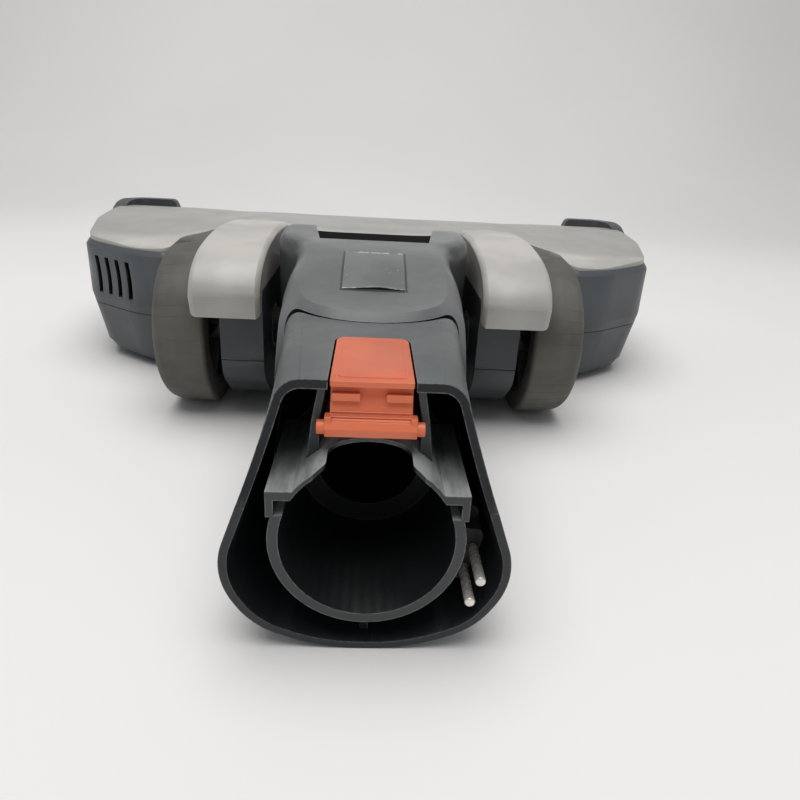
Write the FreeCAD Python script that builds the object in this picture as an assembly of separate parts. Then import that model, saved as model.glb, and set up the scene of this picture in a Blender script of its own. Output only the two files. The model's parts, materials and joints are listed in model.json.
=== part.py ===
import FreeCAD, Part
import math
import os
from FreeCAD import Vector

# A powered floor head for a canister vacuum cleaner, in millimetres.
# X runs along the brush, +Y towards the front edge, +Z up.
# Shapes are built with y = 0 on the wheel axle; save() moves them so that the
# origin is at the centre of the bounding box's bottom.

# ---- driving dimensions -------------------------------------------------
MOUTH_REACH = 141.0            # axle to the hood's mouth, towards -Y
FRONT_REACH = 131.0            # axle to the bumper's front face, towards +Y
HALF_WIDTH = 136.0             # housing half width at the front
SHIFT_Y = (MOUTH_REACH - FRONT_REACH) / 2

WHEEL_R = 30.8
WHEEL_IN = 58.7                # wheel's inner and outer faces, |x|
WHEEL_OUT = 78.0
PIVOT_Z = WHEEL_R              # wheel axle and neck tilt axis share this line
AXLE_R = 3.0

NECK_Z = 27.5                  # height of the neck's own axis
BALL_Y = -62.4                 # centre of the swivel seam's sphere
BALL_R = 40.5
HOOD_GAP = 1.5                 # gap between knuckle and hood along the sphere
BULKHEAD_WALL = 1.2            # domed wall across the hood's rear
BULKHEAD_HOLE_R = 19.4
LIP_Y = -86.2                  # upright rear face of the knuckle's lip

SOCKET_R = 18.0                # wand socket bore
SOCKET_WALL = 2.2
SOCKET_DEPTH = 36.0
ROOF_WALL = 0.9                # the socket's upper wall is thinner
DUCT_R = 13.0                  # airway behind the socket's step
DUCT_WALL = 2.0
REAR_TUBE_R = 15.5             # outside of the hood's rear tube
SLEEVE_GAP = 0.08
SLEEVE_R = 18.6                # outside of the knuckle's sleeve

BARREL_R = 26.0                # tilt drum
BARREL_WALL = 2.0
BARREL_HALF = 30.5
CRADLE_GAP = 0.4
CRADLE_WALL = 1.8
TRUNNION_R = 7.0
BUSH_WALL = 2.0
RUN_GAP = 0.06                 # radial clearance of running fits

POCKET_HALF = 38.0             # half width of the neck's pocket in the housing
POCKET_FRONT = 42.0
POD_OUT = 53.0
POD_REAR = -30.0
SKIN = 2.4                     # housing wall
SEAM_Z = 26.0                  # between lower and upper housing
SEAM_LINE = 0.3
HOUSING_BOTTOM = 7.5
CREASE_Z = 30.0
RIM_Z = 53.0
SOLE_BOTTOM = 3.2
FENDER_OUT = 62.0

BRUSH_Y = 96.0
BRUSH_Z = 25.0
CORE_R = 14.0
TUFT_R = 23.3
BRUSH_LEFT = -102.0
BRUSH_RIGHT = 112.0
BRUSH_PULLEY_R = 11.0
MOTOR_Y = 58.0
MOTOR_Z = 38.0
MOTOR_R = 12.8
MOTOR_PULLEY_R = 5.5
BELT_X = -109.0
BELT_WIDTH = 6.0
BELT_THICK = 1.4

FRONT_ROLLER_R = 6.5
FRONT_ROLLER_X = 122.8
FRONT_ROLLER_Y = 110.0
ROLLER_HALF = 3.0
FORK_IN = 3.6                  # half gap and half width of the roller fork
FORK_OUT = 4.8

SCREW_R = 1.5
SCREW_HEAD_R = 3.0
SOLE_SCREWS = [(-110.0, 64.0), (-60.0, 64.0), (60.0, 64.0), (110.0, 64.0),
               (-113.0, 117.2), (113.0, 117.2)]
SCREW_TOP = 12.0
LINT_HALF = 108.0
LINT_Y = (73.5, 117.5)
BRUSH_SLOT = [(118.0, 77.5, 4), (118.0, 114.0, 4), (-118.0, 114.0, 4), (-118.0, 77.5, 4)]

BUMPER_PROUD = 1.0
BUMPER_REAR = 78.0
LIP_TOP = 62.5
COVER_INSET = 2.0
COVER_MIDDLE = ((8, 60.4), (45, 61.4), (80, 62.4), (110, 60.2), (136, 54.5))
COVER_END = ((8, 52.5), (45, 55.4), (80, 58.6), (110, 60.0), (136, 56.5))
FENDER_MIDDLE = 50.0           # |x| of the swell's crest
SWELL_WIDTH = 16.0
SWELL_FRONT = 100.0
ROOF_REACH = 144               # the roof surface is sampled from -X to +X
ROOF_STEP = 12
ROOF_FLAT = 54.0               # |x| where the crown starts to fall
ROOF_EDGE = 96.0               # |x| where it has fallen
FENDER_IN = 38.0
FENDER_RISE = 3.4              # the cover swells up in front of each fender
FENDER_BOTTOM = 42.5
FENDER_TUCK = 1.5
FENDER_TOP = [(-36.0, 50.0), (-34.0, 54.6), (-26.5, 60.3), (-10.0, 64.6), (10.0, 66.2),
              (30.0, 65.7), (46.0, 64.6)]

# housing and pod outlines: corner position and corner radius
HOUSING_HALF = [
    (82.0, POCKET_FRONT, 2.0), (82.0, 19.5, 5.0), (101.0, 24.0, 30.0),
    (127.0, 43.0, 22.0), (134.5, 75.0, 30.0), (HALF_WIDTH, 121.0, 10.0),
    (128.0, 130.0, 10.0)]
POD_PROFILE = [
    (60.0, HOUSING_BOTTOM, 0), (60.0, 51.0, 0), (POD_REAR, 51.0, 3.0),
    (POD_REAR, 20.0, 14.0), (-14.0, HOUSING_BOTTOM, 8.0)]
VENT_COUNT = 4
VENT_PITCH = 5.6
VENT_WIDTH = 2.2
BULKHEAD_Y = 69.0              # rear wall of the brush chamber

# airway: angles in degrees about the tilt axis
THROAT_LOW = -58.0             # cradle opening, in degrees about the tilt axis
THROAT_HIGH = -27.0
CRADLE_TOP = 56.0
CRADLE_REAR = -134.0
DUCT_HALF = 21.0
DUCT_LOW = 9.2
DUCT_HIGH = 19.6
DUCT_SKIN = 1.6
TILT_MAX = 85.0

# knuckle
KNUCKLE_SECTIONS = [           # y, half width, bottom, top, low radius, top radius
    (-14.0, 27.0, 14.0, 70.0, 6.0, 4.0), (-34.0, 26.0, 3.0, 70.0, 10.0, 5.0),
    (-48.0, 25.0, 1.6, 69.4, 12.0, 7.0), (-66.0, 25.8, 1.6, 65.2, 14.0, 11.5),
    (-92.0, 23.4, 3.2, 58.6, 14.0, 10.5)]
DRUM_TOP_R = 39.2
EAR_HALF = 34.5
EAR_FRONT = 20.0
NOTCH = [(18.4, -28.5, 7.0), (24.5, 22.0, 0), (25.0, 60.0, 0)]   # half plan, open in front
KNUCKLE_SKIN = 2.6
KNUCKLE_SPLIT = 27.0

# blank label
LABEL_HALF = 9.4
LABEL_REAR = -70.0
LABEL_FRONT = -45.0
LABEL_DEPTH = 0.6

# hood: half outlines measured from the neck's axis, with corner radii
MOUTH_Y = -MOUTH_REACH
HOOD_MOUTH = [(9.5, -27.5, 40.0), (24.0, -21.5, 18.0), (32.0, -8.5, 17.0), (17.6, 31.4, 6.0)]
HOOD_SEAM = [(10.0, -27.5, 25.0), (22.0, -22.5, 12.0), (25.6, -8.0, 12.0), (23.6, 31.4, 4.5)]
HOOD_SEAM_Y = -74.0
HOOD_WALL = 1.8
RIM_SET_BACK = 10.0
PAD_HALF = 8.4
PAD_START = 10.0
PAD_END = 37.7
PAD_GAP = 0.45

# wand socket: flanges, measured from the neck's axis
FLANGE_TOP = 11.4              # above the neck's axis
FLANGE_LOW = 9.4
FLANGE_OUT = 20.3
FLANGE_LENGTH = 34.0

# latch
LATCH_Y = MOUTH_Y + 26.0       # latch pivot, under the middle of the pad
LATCH_Z = NECK_Z + 27.2
LATCH_PIN_R = 1.1
BAR_Y = MOUTH_Y + 7.9          # cross bar that locks the wand
BAR_Z = NECK_Z + 22.0
BAR_R = 1.9
BAR_HALF = 9.3
PEG_R = 1.5
PEG_HALF = 10.9
PAD_TOP = NECK_Z + 31.8
PAD_THICK = 2.4
PAD_LIP = 1.8                  # the pad stands out over the front plate

# latch bracket
BRACKET_TOP = NECK_Z + 31.4 - HOOD_WALL
BRACKET_Y = MOUTH_Y + 9.9
BRACKET_LENGTH = 28.0

# latch spring
SPRING_TURNS = 5
SPRING_R = 2.6
SPRING_WIRE_R = 0.4

# plug: pin places are (x, height above the neck's axis)
PLUG_PINS = [(24.2, -9.4), (22.4, -14.8)]
PLUG_FACE = MOUTH_Y + 13.0
PLUG_LENGTH = 11.0
PIN_R = 1.15
PIN_SHANK_R = 0.85
PIN_FREE = 12.6

# brush and motor
TUFTS_PER_ROW = 16
TUFT_BUNDLE_R = 2.4
MOTOR_X0 = -101.0
MOTOR_X1 = -50.0


# ---- helpers ------------------------------------------------------------
def box(x0, x1, y0, y1, z0, z1):
    """Box between two corners."""
    return Part.makeBox(x1 - x0, y1 - y0, z1 - z0, Vector(x0, y0, z0))


def cyl_x(r, x0, x1, y, z):
    """Cylinder along X."""
    return Part.makeCylinder(r, x1 - x0, Vector(x0, y, z), Vector(1, 0, 0))


def cyl_y(r, y0, y1, x, z):
    """Cylinder along Y."""
    return Part.makeCylinder(r, y1 - y0, Vector(x, y0, z), Vector(0, 1, 0))


def cyl_z(r, z0, z1, x, y):
    """Cylinder along Z."""
    return Part.makeCylinder(r, z1 - z0, Vector(x, y, z0), Vector(0, 0, 1))


def mirrored(shape):
    """The same shape on the other side of the head."""
    return shape.mirror(Vector(0, 0, 0), Vector(1, 0, 0))


def both(shape):
    """A shape and its mirror image as one fused shape."""
    return shape.fuse(mirrored(shape))


def on_xy(z):
    return lambda a, b: Vector(a, b, z)


def on_xz(y):
    return lambda a, b: Vector(a, y, b)


def on_yz(x):
    return lambda a, b: Vector(x, a, b)


def mirror_corners(half):
    """Close a half outline, given with a > 0, by mirroring it in a = 0."""
    return half + [(-a, b, r) for a, b, r in reversed(half)]


def inset(corners, distance):
    """Offset a counter-clockwise outline inwards, keeping its corner count."""
    count = len(corners)
    result = []
    for i, (a, b, radius) in enumerate(corners):
        here = Vector(a, b, 0)
        before = Vector(corners[i - 1][0], corners[i - 1][1], 0)
        after = Vector(corners[(i + 1) % count][0], corners[(i + 1) % count][1], 0)
        side_in = (here - before).normalize()
        side_out = (after - here).normalize()
        normal_in = Vector(-side_in.y, side_in.x, 0)
        normal_out = Vector(-side_out.y, side_out.x, 0)
        spread = 1 + normal_in.dot(normal_out)
        moved = here + (normal_in + normal_out) * (distance / spread)
        convex = side_in.cross(side_out).z > 0
        if radius > 0:
            radius = max(radius - distance, 0.6) if convex else radius + distance
        result.append((moved.x, moved.y, radius))
    return result


def rounded_wire(corners, place):
    """Closed wire of straight sides joined by tangent arcs at its corners."""
    count = len(corners)
    arcs = []
    for i, (a, b, radius) in enumerate(corners):
        here = Vector(a, b, 0)
        if radius == 0:
            arcs.append((here, None, here))
            continue
        before = Vector(corners[i - 1][0], corners[i - 1][1], 0)
        after = Vector(corners[(i + 1) % count][0], corners[(i + 1) % count][1], 0)
        to_before = (before - here).normalize()
        to_after = (after - here).normalize()
        half_angle = to_before.getAngle(to_after) / 2
        reach = radius / math.tan(half_angle)
        middle_way = (to_before + to_after).normalize()
        middle = here + middle_way * (radius / math.sin(half_angle) - radius)
        arcs.append((here + to_before * reach, middle, here + to_after * reach))
    edges = []
    for i, (start, middle, end) in enumerate(arcs):
        if middle is not None:
            points = [place(p.x, p.y) for p in (start, middle, end)]
            edges.append(Part.Arc(*points).toShape())
        following = arcs[(i + 1) % count][0]
        if (following - end).Length > 1e-6:
            edges.append(Part.LineSegment(place(end.x, end.y),
                                          place(following.x, following.y)).toShape())
    return Part.Wire(edges)


def prism_z(corners, z0, z1):
    """Rounded outline in the XY plane, from z0 to z1."""
    return Part.Face(rounded_wire(corners, on_xy(z0))).extrude(Vector(0, 0, z1 - z0))


def prism_x(corners, x0, x1):
    """Rounded outline in the YZ plane, from x0 to x1."""
    return Part.Face(rounded_wire(corners, on_yz(x0))).extrude(Vector(x1 - x0, 0, 0))


def prism_y(corners, y0, y1):
    """Rounded outline in the XZ plane, from y0 to y1."""
    return Part.Face(rounded_wire(corners, on_xz(y0))).extrude(Vector(0, y1 - y0, 0))


def loft(wires, ruled=False):
    return Part.makeLoft(wires, True, ruled)


def ring_x(r_out, r_in, x0, x1, y, z):
    """Tube along X."""
    return cyl_x(r_out, x0, x1, y, z).cut(cyl_x(r_in, x0 - 1, x1 + 1, y, z))


def ring_y(r_out, r_in, y0, y1, z):
    """Tube along the neck's axis."""
    return cyl_y(r_out, y0, y1, 0, z).cut(cyl_y(r_in, y0 - 1, y1 + 1, 0, z))


def wedge_x(y, z, angle0, angle1, radius, x0, x1):
    """Pie slice about an axis along X; angles in degrees from +Y towards +Z."""
    steps = max(2, int(math.ceil((angle1 - angle0) / 60.0)))
    points = [Vector(x0, y, z)]
    far = radius / math.cos(math.radians((angle1 - angle0) / steps / 2)) + 1
    for i in range(steps + 1):
        angle = math.radians(angle0 + (angle1 - angle0) * i / steps)
        points.append(Vector(x0, y + far * math.cos(angle), z + far * math.sin(angle)))
    points.append(points[0])
    return Part.Face(Part.makePolygon(points)).extrude(Vector(x1 - x0, 0, 0))


def turned_x(profile, y, z):
    """Solid of revolution about a line along X; profile lists (x, radius, corner)."""
    wire = rounded_wire(profile, lambda a, b: Vector(a, y, z + b))
    return Part.Face(wire).revolve(Vector(0, y, z), Vector(1, 0, 0), 360)


def save(name, shape):
    """Write one sub-part, with the origin at the bounding box's bottom centre."""
    placed = shape.removeSplitter()
    placed.translate(Vector(0, SHIFT_Y, 0))
    placed.exportStep("parts/" + name + ".step")
    size = placed.optimalBoundingBox()
    print("%-22s solids %2d valid %s  x %7.1f %7.1f  y %7.1f %7.1f  z %6.1f %6.1f" % (
        name, len(placed.Solids), placed.isValid(), size.XMin, size.XMax,
        size.YMin, size.YMax, size.ZMin, size.ZMax))


# ---- housing ------------------------------------------------------------
HOUSING = mirror_corners(HOUSING_HALF)


def housing_shell():
    """Both halves of the dark housing, before they are split at the seam."""
    lower_wire = rounded_wire(inset(HOUSING, 4.5), on_xy(HOUSING_BOTTOM))
    crease_wire = rounded_wire(HOUSING, on_xy(CREASE_Z))
    outer = loft([lower_wire, crease_wire], True)
    outer = outer.fuse(prism_z(HOUSING, CREASE_Z, RIM_Z - 2))
    shoulder = [rounded_wire(HOUSING, on_xy(RIM_Z - 2)),
                rounded_wire(inset(HOUSING, 1.4), on_xy(RIM_Z))]
    outer = outer.fuse(loft(shoulder, True))
    outer = outer.fuse(both(prism_x(POD_PROFILE, POCKET_HALF, POD_OUT)))

    low_hole = rounded_wire(inset(HOUSING, 4.5 + SKIN), on_xy(HOUSING_BOTTOM - 1))
    mid_hole = rounded_wire(inset(HOUSING, SKIN), on_xy(CREASE_Z))
    cavity = loft([low_hole, mid_hole], True)
    cavity = cavity.fuse(prism_z(inset(HOUSING, SKIN), CREASE_Z, RIM_Z - 2))
    cavity = cavity.fuse(prism_z(inset(HOUSING, 6.0), RIM_Z - 3, RIM_Z + 1))
    pod_hole = prism_x([
        (55.0, HOUSING_BOTTOM + SKIN, 0), (55.0, 52.0, 0), (POD_REAR + SKIN, 52.0, 0),
        (POD_REAR + SKIN, 20.5, 12.0), (-13.0, HOUSING_BOTTOM + SKIN, 6.0)],
        POCKET_HALF + SKIN, POD_OUT - SKIN)
    cavity = cavity.fuse(both(pod_hole))
    return outer.cut(cavity)


def vent_slots():
    """Curved slots through the left end block's rear wall."""
    slots = []
    for i in range(VENT_COUNT):
        x = -101.5 - i * VENT_PITCH
        ring = cyl_y(60.0, 0.0, 60.0, x - 60.0, 38.0)
        ring = ring.cut(cyl_y(60.0 - VENT_WIDTH, -1.0, 61.0, x - 60.0, 38.0))
        slots.append(ring.common(box(x - 6, x + 1, 0, 60, 31.5, 47.5)))
    return Part.makeCompound(slots)


def housing_halves():
    """Lower and upper housing, with the holes that both share."""
    shell = housing_shell()
    duct_hole = box(-24.0, 24.0, POCKET_FRONT - 1, POCKET_FRONT + 8, 0, 22.5)
    shell = shell.cut(duct_hole)
    bush_hole = cyl_x(TRUNNION_R + BUSH_WALL, POCKET_HALF - 1, POCKET_HALF + SKIN + 1,
                      0, PIVOT_Z)
    axle_hole = cyl_x(AXLE_R, POD_OUT - SKIN - 1, POD_OUT + 1, 0, PIVOT_Z)
    shell = shell.cut(both(bush_hole)).cut(both(axle_hole))
    shell = shell.cut(vent_slots())
    below = box(-200, 200, -200, 200, -10, SEAM_Z - SEAM_LINE)
    above = box(-200, 200, -200, 200, SEAM_Z, 100)
    return shell.common(below), shell.common(above)


def front_roller_well():
    """Space in the sole for one front roller, on the right."""
    return box(FRONT_ROLLER_X - FORK_OUT - 0.2, FRONT_ROLLER_X + FORK_OUT + 0.2,
               FRONT_ROLLER_Y - 8, FRONT_ROLLER_Y + 8, 0, 14.5)


def sole_plate():
    """Bottom plate with the brush slot, lint strip grooves and roller wells."""
    plate = loft([rounded_wire(inset(HOUSING, 7.5), on_xy(SOLE_BOTTOM)),
                  rounded_wire(inset(HOUSING, 4.8), on_xy(HOUSING_BOTTOM))], True)
    plate = plate.cut(prism_z(BRUSH_SLOT, 0, 20))
    for y in LINT_Y:
        plate = plate.cut(box(-LINT_HALF, LINT_HALF, y - 2.0, y + 2.0, 0, SOLE_BOTTOM + 1.4))
    plate = plate.cut(both(front_roller_well()))
    for x, y in SOLE_SCREWS:
        plate = plate.cut(cyl_z(SCREW_R, 0, 20, x, y))
        plate = plate.cut(cyl_z(SCREW_HEAD_R, 0, SOLE_BOTTOM + 1.6, x, y))
    return plate


def sole_screws():
    """Identical screws through the sole plate, one solid each."""
    screws = []
    for x, y in SOLE_SCREWS:
        head = cyl_z(SCREW_HEAD_R - 0.2, SOLE_BOTTOM + 0.2, SOLE_BOTTOM + 1.6, x, y)
        head = head.cut(box(x - 1.8, x + 1.8, y - 0.4, y + 0.4, 0, SOLE_BOTTOM + 0.9))
        head = head.cut(box(x - 0.4, x + 0.4, y - 1.8, y + 1.8, 0, SOLE_BOTTOM + 0.9))
        screws.append(head.fuse(cyl_z(SCREW_R - 0.1, SOLE_BOTTOM + 1.5, SCREW_TOP, x, y)))
    return Part.makeCompound(screws)


def lint_strip(y):
    """Pile strip that wipes the carpet beside the brush slot."""
    base = box(-LINT_HALF, LINT_HALF, y - 1.8, y + 1.8, SOLE_BOTTOM + 0.4, SOLE_BOTTOM + 1.4)
    return base.fuse(box(-LINT_HALF, LINT_HALF, y - 0.9, y + 0.9, SOLE_BOTTOM - 1.0,
                         SOLE_BOTTOM + 0.5))


def front_bumper():
    """Soft dark band round the front, raised into a lip at both corners."""
    band = prism_z(inset(HOUSING, -BUMPER_PROUD), 12.0, 47.0)
    band = band.cut(prism_z(inset(HOUSING, 0.0), 11.0, 48.0))
    band = band.common(box(-200, 200, BUMPER_REAR, 200, 0, 100))
    band = band.cut(box(-200, 200, BRUSH_Y, 200, 0, 15.0))
    lip = prism_z(inset(HOUSING, -BUMPER_PROUD), 12.0, LIP_TOP)
    lip = lip.cut(prism_z(inset(HOUSING, 5.0), 11.0, LIP_TOP + 1))
    lip = lip.cut(prism_z(inset(HOUSING, 0.0), 11.0, RIM_Z))
    corner = prism_x([(BUMPER_REAR, 47.0, 0), (90.0, RIM_Z, 12), (112.0, LIP_TOP - 1.2, 8),
                      (122.0, LIP_TOP, 4), (140.0, LIP_TOP, 0), (140.0, 11.0, 0),
                      (BUMPER_REAR, 11.0, 0)], 60.0, 150.0)
    slope = prism_y([(103.0, 45.0, 0), (110.0, LIP_TOP, 3), (150.0, LIP_TOP, 0),
                     (150.0, 45.0, 0)], 60.0, 140.0)
    return band.fuse(both(lip.common(corner).common(slope)))


# ---- top cover ----------------------------------------------------------
def cover_roof(drop):
    """Solid below the cover's crowned top surface, lowered by drop."""
    columns = []
    for x in range(-ROOF_REACH, ROOF_REACH + 1, ROOF_STEP):
        share = min(max((abs(x) - ROOF_FLAT) / (ROOF_EDGE - ROOF_FLAT), 0.0), 1.0)
        share = share * share * (3 - 2 * share)
        column = []
        swell = FENDER_RISE * math.exp(-((abs(x) - FENDER_MIDDLE) / SWELL_WIDTH) ** 2)
        for (y, middle_z), (_, end_z) in zip(COVER_MIDDLE, COVER_END):
            fade = min(max((SWELL_FRONT - y) / (SWELL_FRONT - POCKET_FRONT), 0.0), 1.0)
            z = middle_z + (end_z - middle_z) * share + swell * fade
            column.append(Vector(x, y, z - drop))
        columns.append(column)
    surface = Part.BSplineSurface()
    surface.interpolate(columns)
    return surface.toShape().extrude(Vector(0, 0, -20.0))


def fender_wire(x, offset, lift):
    """Side outline of a fender at x, moved inwards, with its bottom edge lifted."""
    points = [Vector(x, y, z) for y, z in FENDER_TOP]
    moved = []
    for i, point in enumerate(points):
        after = points[min(i + 1, len(points) - 1)]
        before = points[max(i - 1, 0)]
        along = (after - before).normalize()
        moved.append(point + Vector(0, along.z, -along.y) * offset)
    top = Part.BSplineCurve()
    top.interpolate(moved)
    low_rear = Vector(x, moved[0].y + FENDER_TUCK, FENDER_BOTTOM + lift)
    low_front = Vector(x, FENDER_TOP[-1][0], FENDER_BOTTOM + lift)
    return Part.Wire([
        Part.LineSegment(low_rear, low_front).toShape(),
        Part.LineSegment(low_front, moved[-1]).toShape(),
        top.toShape(),
        Part.LineSegment(moved[0], low_rear).toShape()])


def outer_fender():
    """Solid fender block whose two long sides roll over."""
    rolled = [(FENDER_IN, 1.6, 1.6), (FENDER_IN + 0.5, 0.7, 0.7), (FENDER_IN + 1.6, 0.0, 0.0),
              (FENDER_OUT - 2.0, 0.0, 0.0), (FENDER_OUT - 0.8, 0.3, 0.5),
              (FENDER_OUT - 0.2, 0.9, 1.2), (FENDER_OUT, 1.6, 2.2)]
    return loft([fender_wire(x, offset, lift) for x, offset, lift in rolled], True)


def fender_hollow():
    """Space inside the fender, open below and towards the wheel."""
    return loft([fender_wire(FENDER_IN + SKIN, SKIN, -1.0),
                 fender_wire(FENDER_OUT + 1.0, SKIN, -1.0)], True)


def top_cover():
    """Light cover over the whole head, with a fender over each wheel's inner third."""
    main = prism_z(inset(HOUSING, COVER_INSET), RIM_Z, 80.0).common(cover_roof(0))
    hollow = prism_z(inset(HOUSING, COVER_INSET + SKIN), RIM_Z - 1, 80.0)
    hollow = hollow.common(cover_roof(SKIN))
    fender = outer_fender().cut(fender_hollow())
    fender = fender.cut(cyl_x(WHEEL_R + 1.6, WHEEL_IN - 1.5, FENDER_OUT + 1, 0, PIVOT_Z))
    fender = fender.cut(box(FENDER_IN - 1, POD_OUT + 0.8, POD_REAR - 0.8, 70, 0, 51.3))
    fender = fender.cut(box(FENDER_IN - 1, FENDER_OUT + 1, POCKET_FRONT - 0.4, 70, 0, RIM_Z))
    return main.cut(hollow).fuse(both(fender)).cut(front_bumper())


# ---- wheels -------------------------------------------------------------
def tyre():
    """Right rubber tyre with a heavily rounded outer shoulder."""
    return turned_x([
        (WHEEL_IN, 23.0, 0.4), (WHEEL_OUT - 1.5, 23.0, 0.4), (WHEEL_OUT, 24.0, 0.6),
        (WHEEL_OUT - 0.4, WHEEL_R - 1.5, 5.0), (WHEEL_OUT - 9.0, WHEEL_R, 8.0),
        (WHEEL_IN, WHEEL_R, 1.5)], 0, PIVOT_Z)


def wheel_hub():
    """Right hub: rim, web and a long boss on the axle pin."""
    rim = ring_x(23.0, 20.6, WHEEL_IN + 0.6, WHEEL_OUT - 3.5, 0, PIVOT_Z)
    web = cyl_x(21.0, 68.0, 70.4, 0, PIVOT_Z)
    boss = cyl_x(6.2, WHEEL_IN - 2.0, WHEEL_OUT - 5.0, 0, PIVOT_Z)
    hub = rim.fuse(web).fuse(boss)
    for i in range(6):
        rib = box(59.5, 69.0, 5.0, 21.5, PIVOT_Z - 0.8, PIVOT_Z + 0.8)
        rib.rotate(Vector(0, 0, PIVOT_Z), Vector(1, 0, 0), 60 * i)
        hub = hub.fuse(rib)
    return hub.cut(cyl_x(AXLE_R + RUN_GAP, 50, 80, 0, PIVOT_Z))


def hub_cap():
    """Right hub cap, a shallow dish that closes the hub's outer side."""
    return turned_x([
        (WHEEL_OUT - 2.4, 0, 0), (WHEEL_OUT - 0.6, 0, 0), (WHEEL_OUT - 0.8, 17.0, 4.0),
        (WHEEL_OUT - 1.8, 22.9, 0.5), (WHEEL_OUT - 3.4, 22.9, 0), (WHEEL_OUT - 3.4, 20.7, 0),
        (WHEEL_OUT - 2.4, 20.7, 0)], 0, PIVOT_Z)


def axle_pin():
    """Right steel axle pin with a collar inside the pod and a clip outside the hub."""
    pin = cyl_x(AXLE_R, POCKET_HALF + SKIN + 3.0, WHEEL_OUT - 3.6, 0, PIVOT_Z)
    return pin.fuse(cyl_x(AXLE_R + 2.5, POD_OUT - SKIN - 1.6, POD_OUT - SKIN, 0, PIVOT_Z))


def axle_clip():
    """Right spring clip that keeps the wheel on its pin."""
    return ring_x(5.4, AXLE_R, WHEEL_OUT - 4.8, WHEEL_OUT - 4.0, 0, PIVOT_Z)


def front_roller():
    """Right front roller in the sole."""
    return turned_x([
        (FRONT_ROLLER_X - ROLLER_HALF, 1.0 + RUN_GAP, 0),
        (FRONT_ROLLER_X + ROLLER_HALF, 1.0 + RUN_GAP, 0),
        (FRONT_ROLLER_X + ROLLER_HALF, FRONT_ROLLER_R, 1.5),
        (FRONT_ROLLER_X - ROLLER_HALF, FRONT_ROLLER_R, 1.5)],
        FRONT_ROLLER_Y, FRONT_ROLLER_R)


def front_roller_fork():
    """Right carrier for the front roller, held between sole and housing."""
    in0, in1 = FRONT_ROLLER_X - FORK_IN, FRONT_ROLLER_X + FORK_IN
    out0, out1 = FRONT_ROLLER_X - FORK_OUT, FRONT_ROLLER_X + FORK_OUT
    y = FRONT_ROLLER_Y
    fork = box(out0, out1, y - 7.6, y + 7.6, HOUSING_BOTTOM + 0.1, 16.0)
    fork = fork.fuse(box(out0, out1, y - 3.0, y + 3.0, 4.4, 10.0))
    fork = fork.cut(box(in0, in1, y - 7.0, y + 7.0, 0, 14.6))
    return fork.cut(cyl_x(1.0, 100, 140, y, FRONT_ROLLER_R))


def front_roller_pin():
    """Right pin of the front roller."""
    return cyl_x(1.0, FRONT_ROLLER_X - FORK_OUT, FRONT_ROLLER_X + FORK_OUT, FRONT_ROLLER_Y,
                 FRONT_ROLLER_R)


# ---- airway and tilt drum -----------------------------------------------


def suction_duct():
    """Cradle round the tilt drum and the flat duct to the brush chamber."""
    inner = BARREL_R + CRADLE_GAP
    outer = inner + CRADLE_WALL
    ring = ring_x(outer, inner, -BARREL_HALF, BARREL_HALF, 0, PIVOT_Z)
    low = ring.common(wedge_x(0, PIVOT_Z, CRADLE_REAR, THROAT_LOW, 40, -40, 40))
    high = ring.common(wedge_x(0, PIVOT_Z, THROAT_HIGH, CRADLE_TOP, 40, -40, 40))
    middle = ring.common(wedge_x(0, PIVOT_Z, THROAT_LOW - 1, THROAT_HIGH + 1, 40, -40, 40))
    throat = box(-DUCT_HALF, DUCT_HALF, 0, BULKHEAD_Y, DUCT_LOW, DUCT_HIGH)
    tube = box(-DUCT_HALF - DUCT_SKIN, DUCT_HALF + DUCT_SKIN, 12.0, BULKHEAD_Y,
               DUCT_LOW - DUCT_SKIN, DUCT_HIGH + DUCT_SKIN)
    tube = tube.cut(cyl_x(outer - 0.1, -60, 60, 0, PIVOT_Z))
    duct = low.fuse(high).fuse(middle).fuse(tube)
    duct = duct.cut(throat.cut(cyl_x(inner - 0.2, -60, 60, 0, PIVOT_Z)))
    return duct.cut(cyl_x(inner, -60, 60, 0, PIVOT_Z))


def tilt_drum():
    """Hollow drum on the tilt axis, its trunnions and the pipe into the neck."""
    drum = ring_x(BARREL_R, BARREL_R - BARREL_WALL, -BARREL_HALF + 0.4, BARREL_HALF - 0.4,
                  0, PIVOT_Z)
    window = wedge_x(0, PIVOT_Z, THROAT_LOW - 3, THROAT_HIGH + TILT_MAX + 2, 40,
                     -BARREL_HALF + 4, BARREL_HALF - 4)
    drum = drum.cut(window)
    for side in (-1, 1):
        x0 = min(side * (BARREL_HALF - 2.4), side * (BARREL_HALF - 0.4))
        drum = drum.fuse(cyl_x(BARREL_R, x0, x0 + 2.0, 0, PIVOT_Z))
        start = min(side * (BARREL_HALF - 0.4), side * (POCKET_HALF + SKIN))
        length = POCKET_HALF + SKIN - BARREL_HALF + 0.4
        drum = drum.fuse(ring_x(TRUNNION_R, TRUNNION_R - 2.5, start, start + length, 0, PIVOT_Z))
    pipe = cyl_y(DUCT_R + DUCT_WALL, -46.0, -18.0, 0, NECK_Z)
    drum = drum.fuse(pipe.cut(cyl_x(BARREL_R - 0.5, -60, 60, 0, PIVOT_Z)))
    return drum.cut(cyl_y(DUCT_R, -60.0, -18.0, 0, NECK_Z))


def hinge_bush():
    """Right bush in the pod's inner wall."""
    bush = ring_x(TRUNNION_R + BUSH_WALL, TRUNNION_R + RUN_GAP, POCKET_HALF,
                  POCKET_HALF + SKIN, 0, PIVOT_Z)
    flange = ring_x(TRUNNION_R + BUSH_WALL + 1.6, TRUNNION_R + RUN_GAP,
                    POCKET_HALF + SKIN, POCKET_HALF + SKIN + 1.2, 0, PIVOT_Z)
    return bush.fuse(flange)


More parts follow.
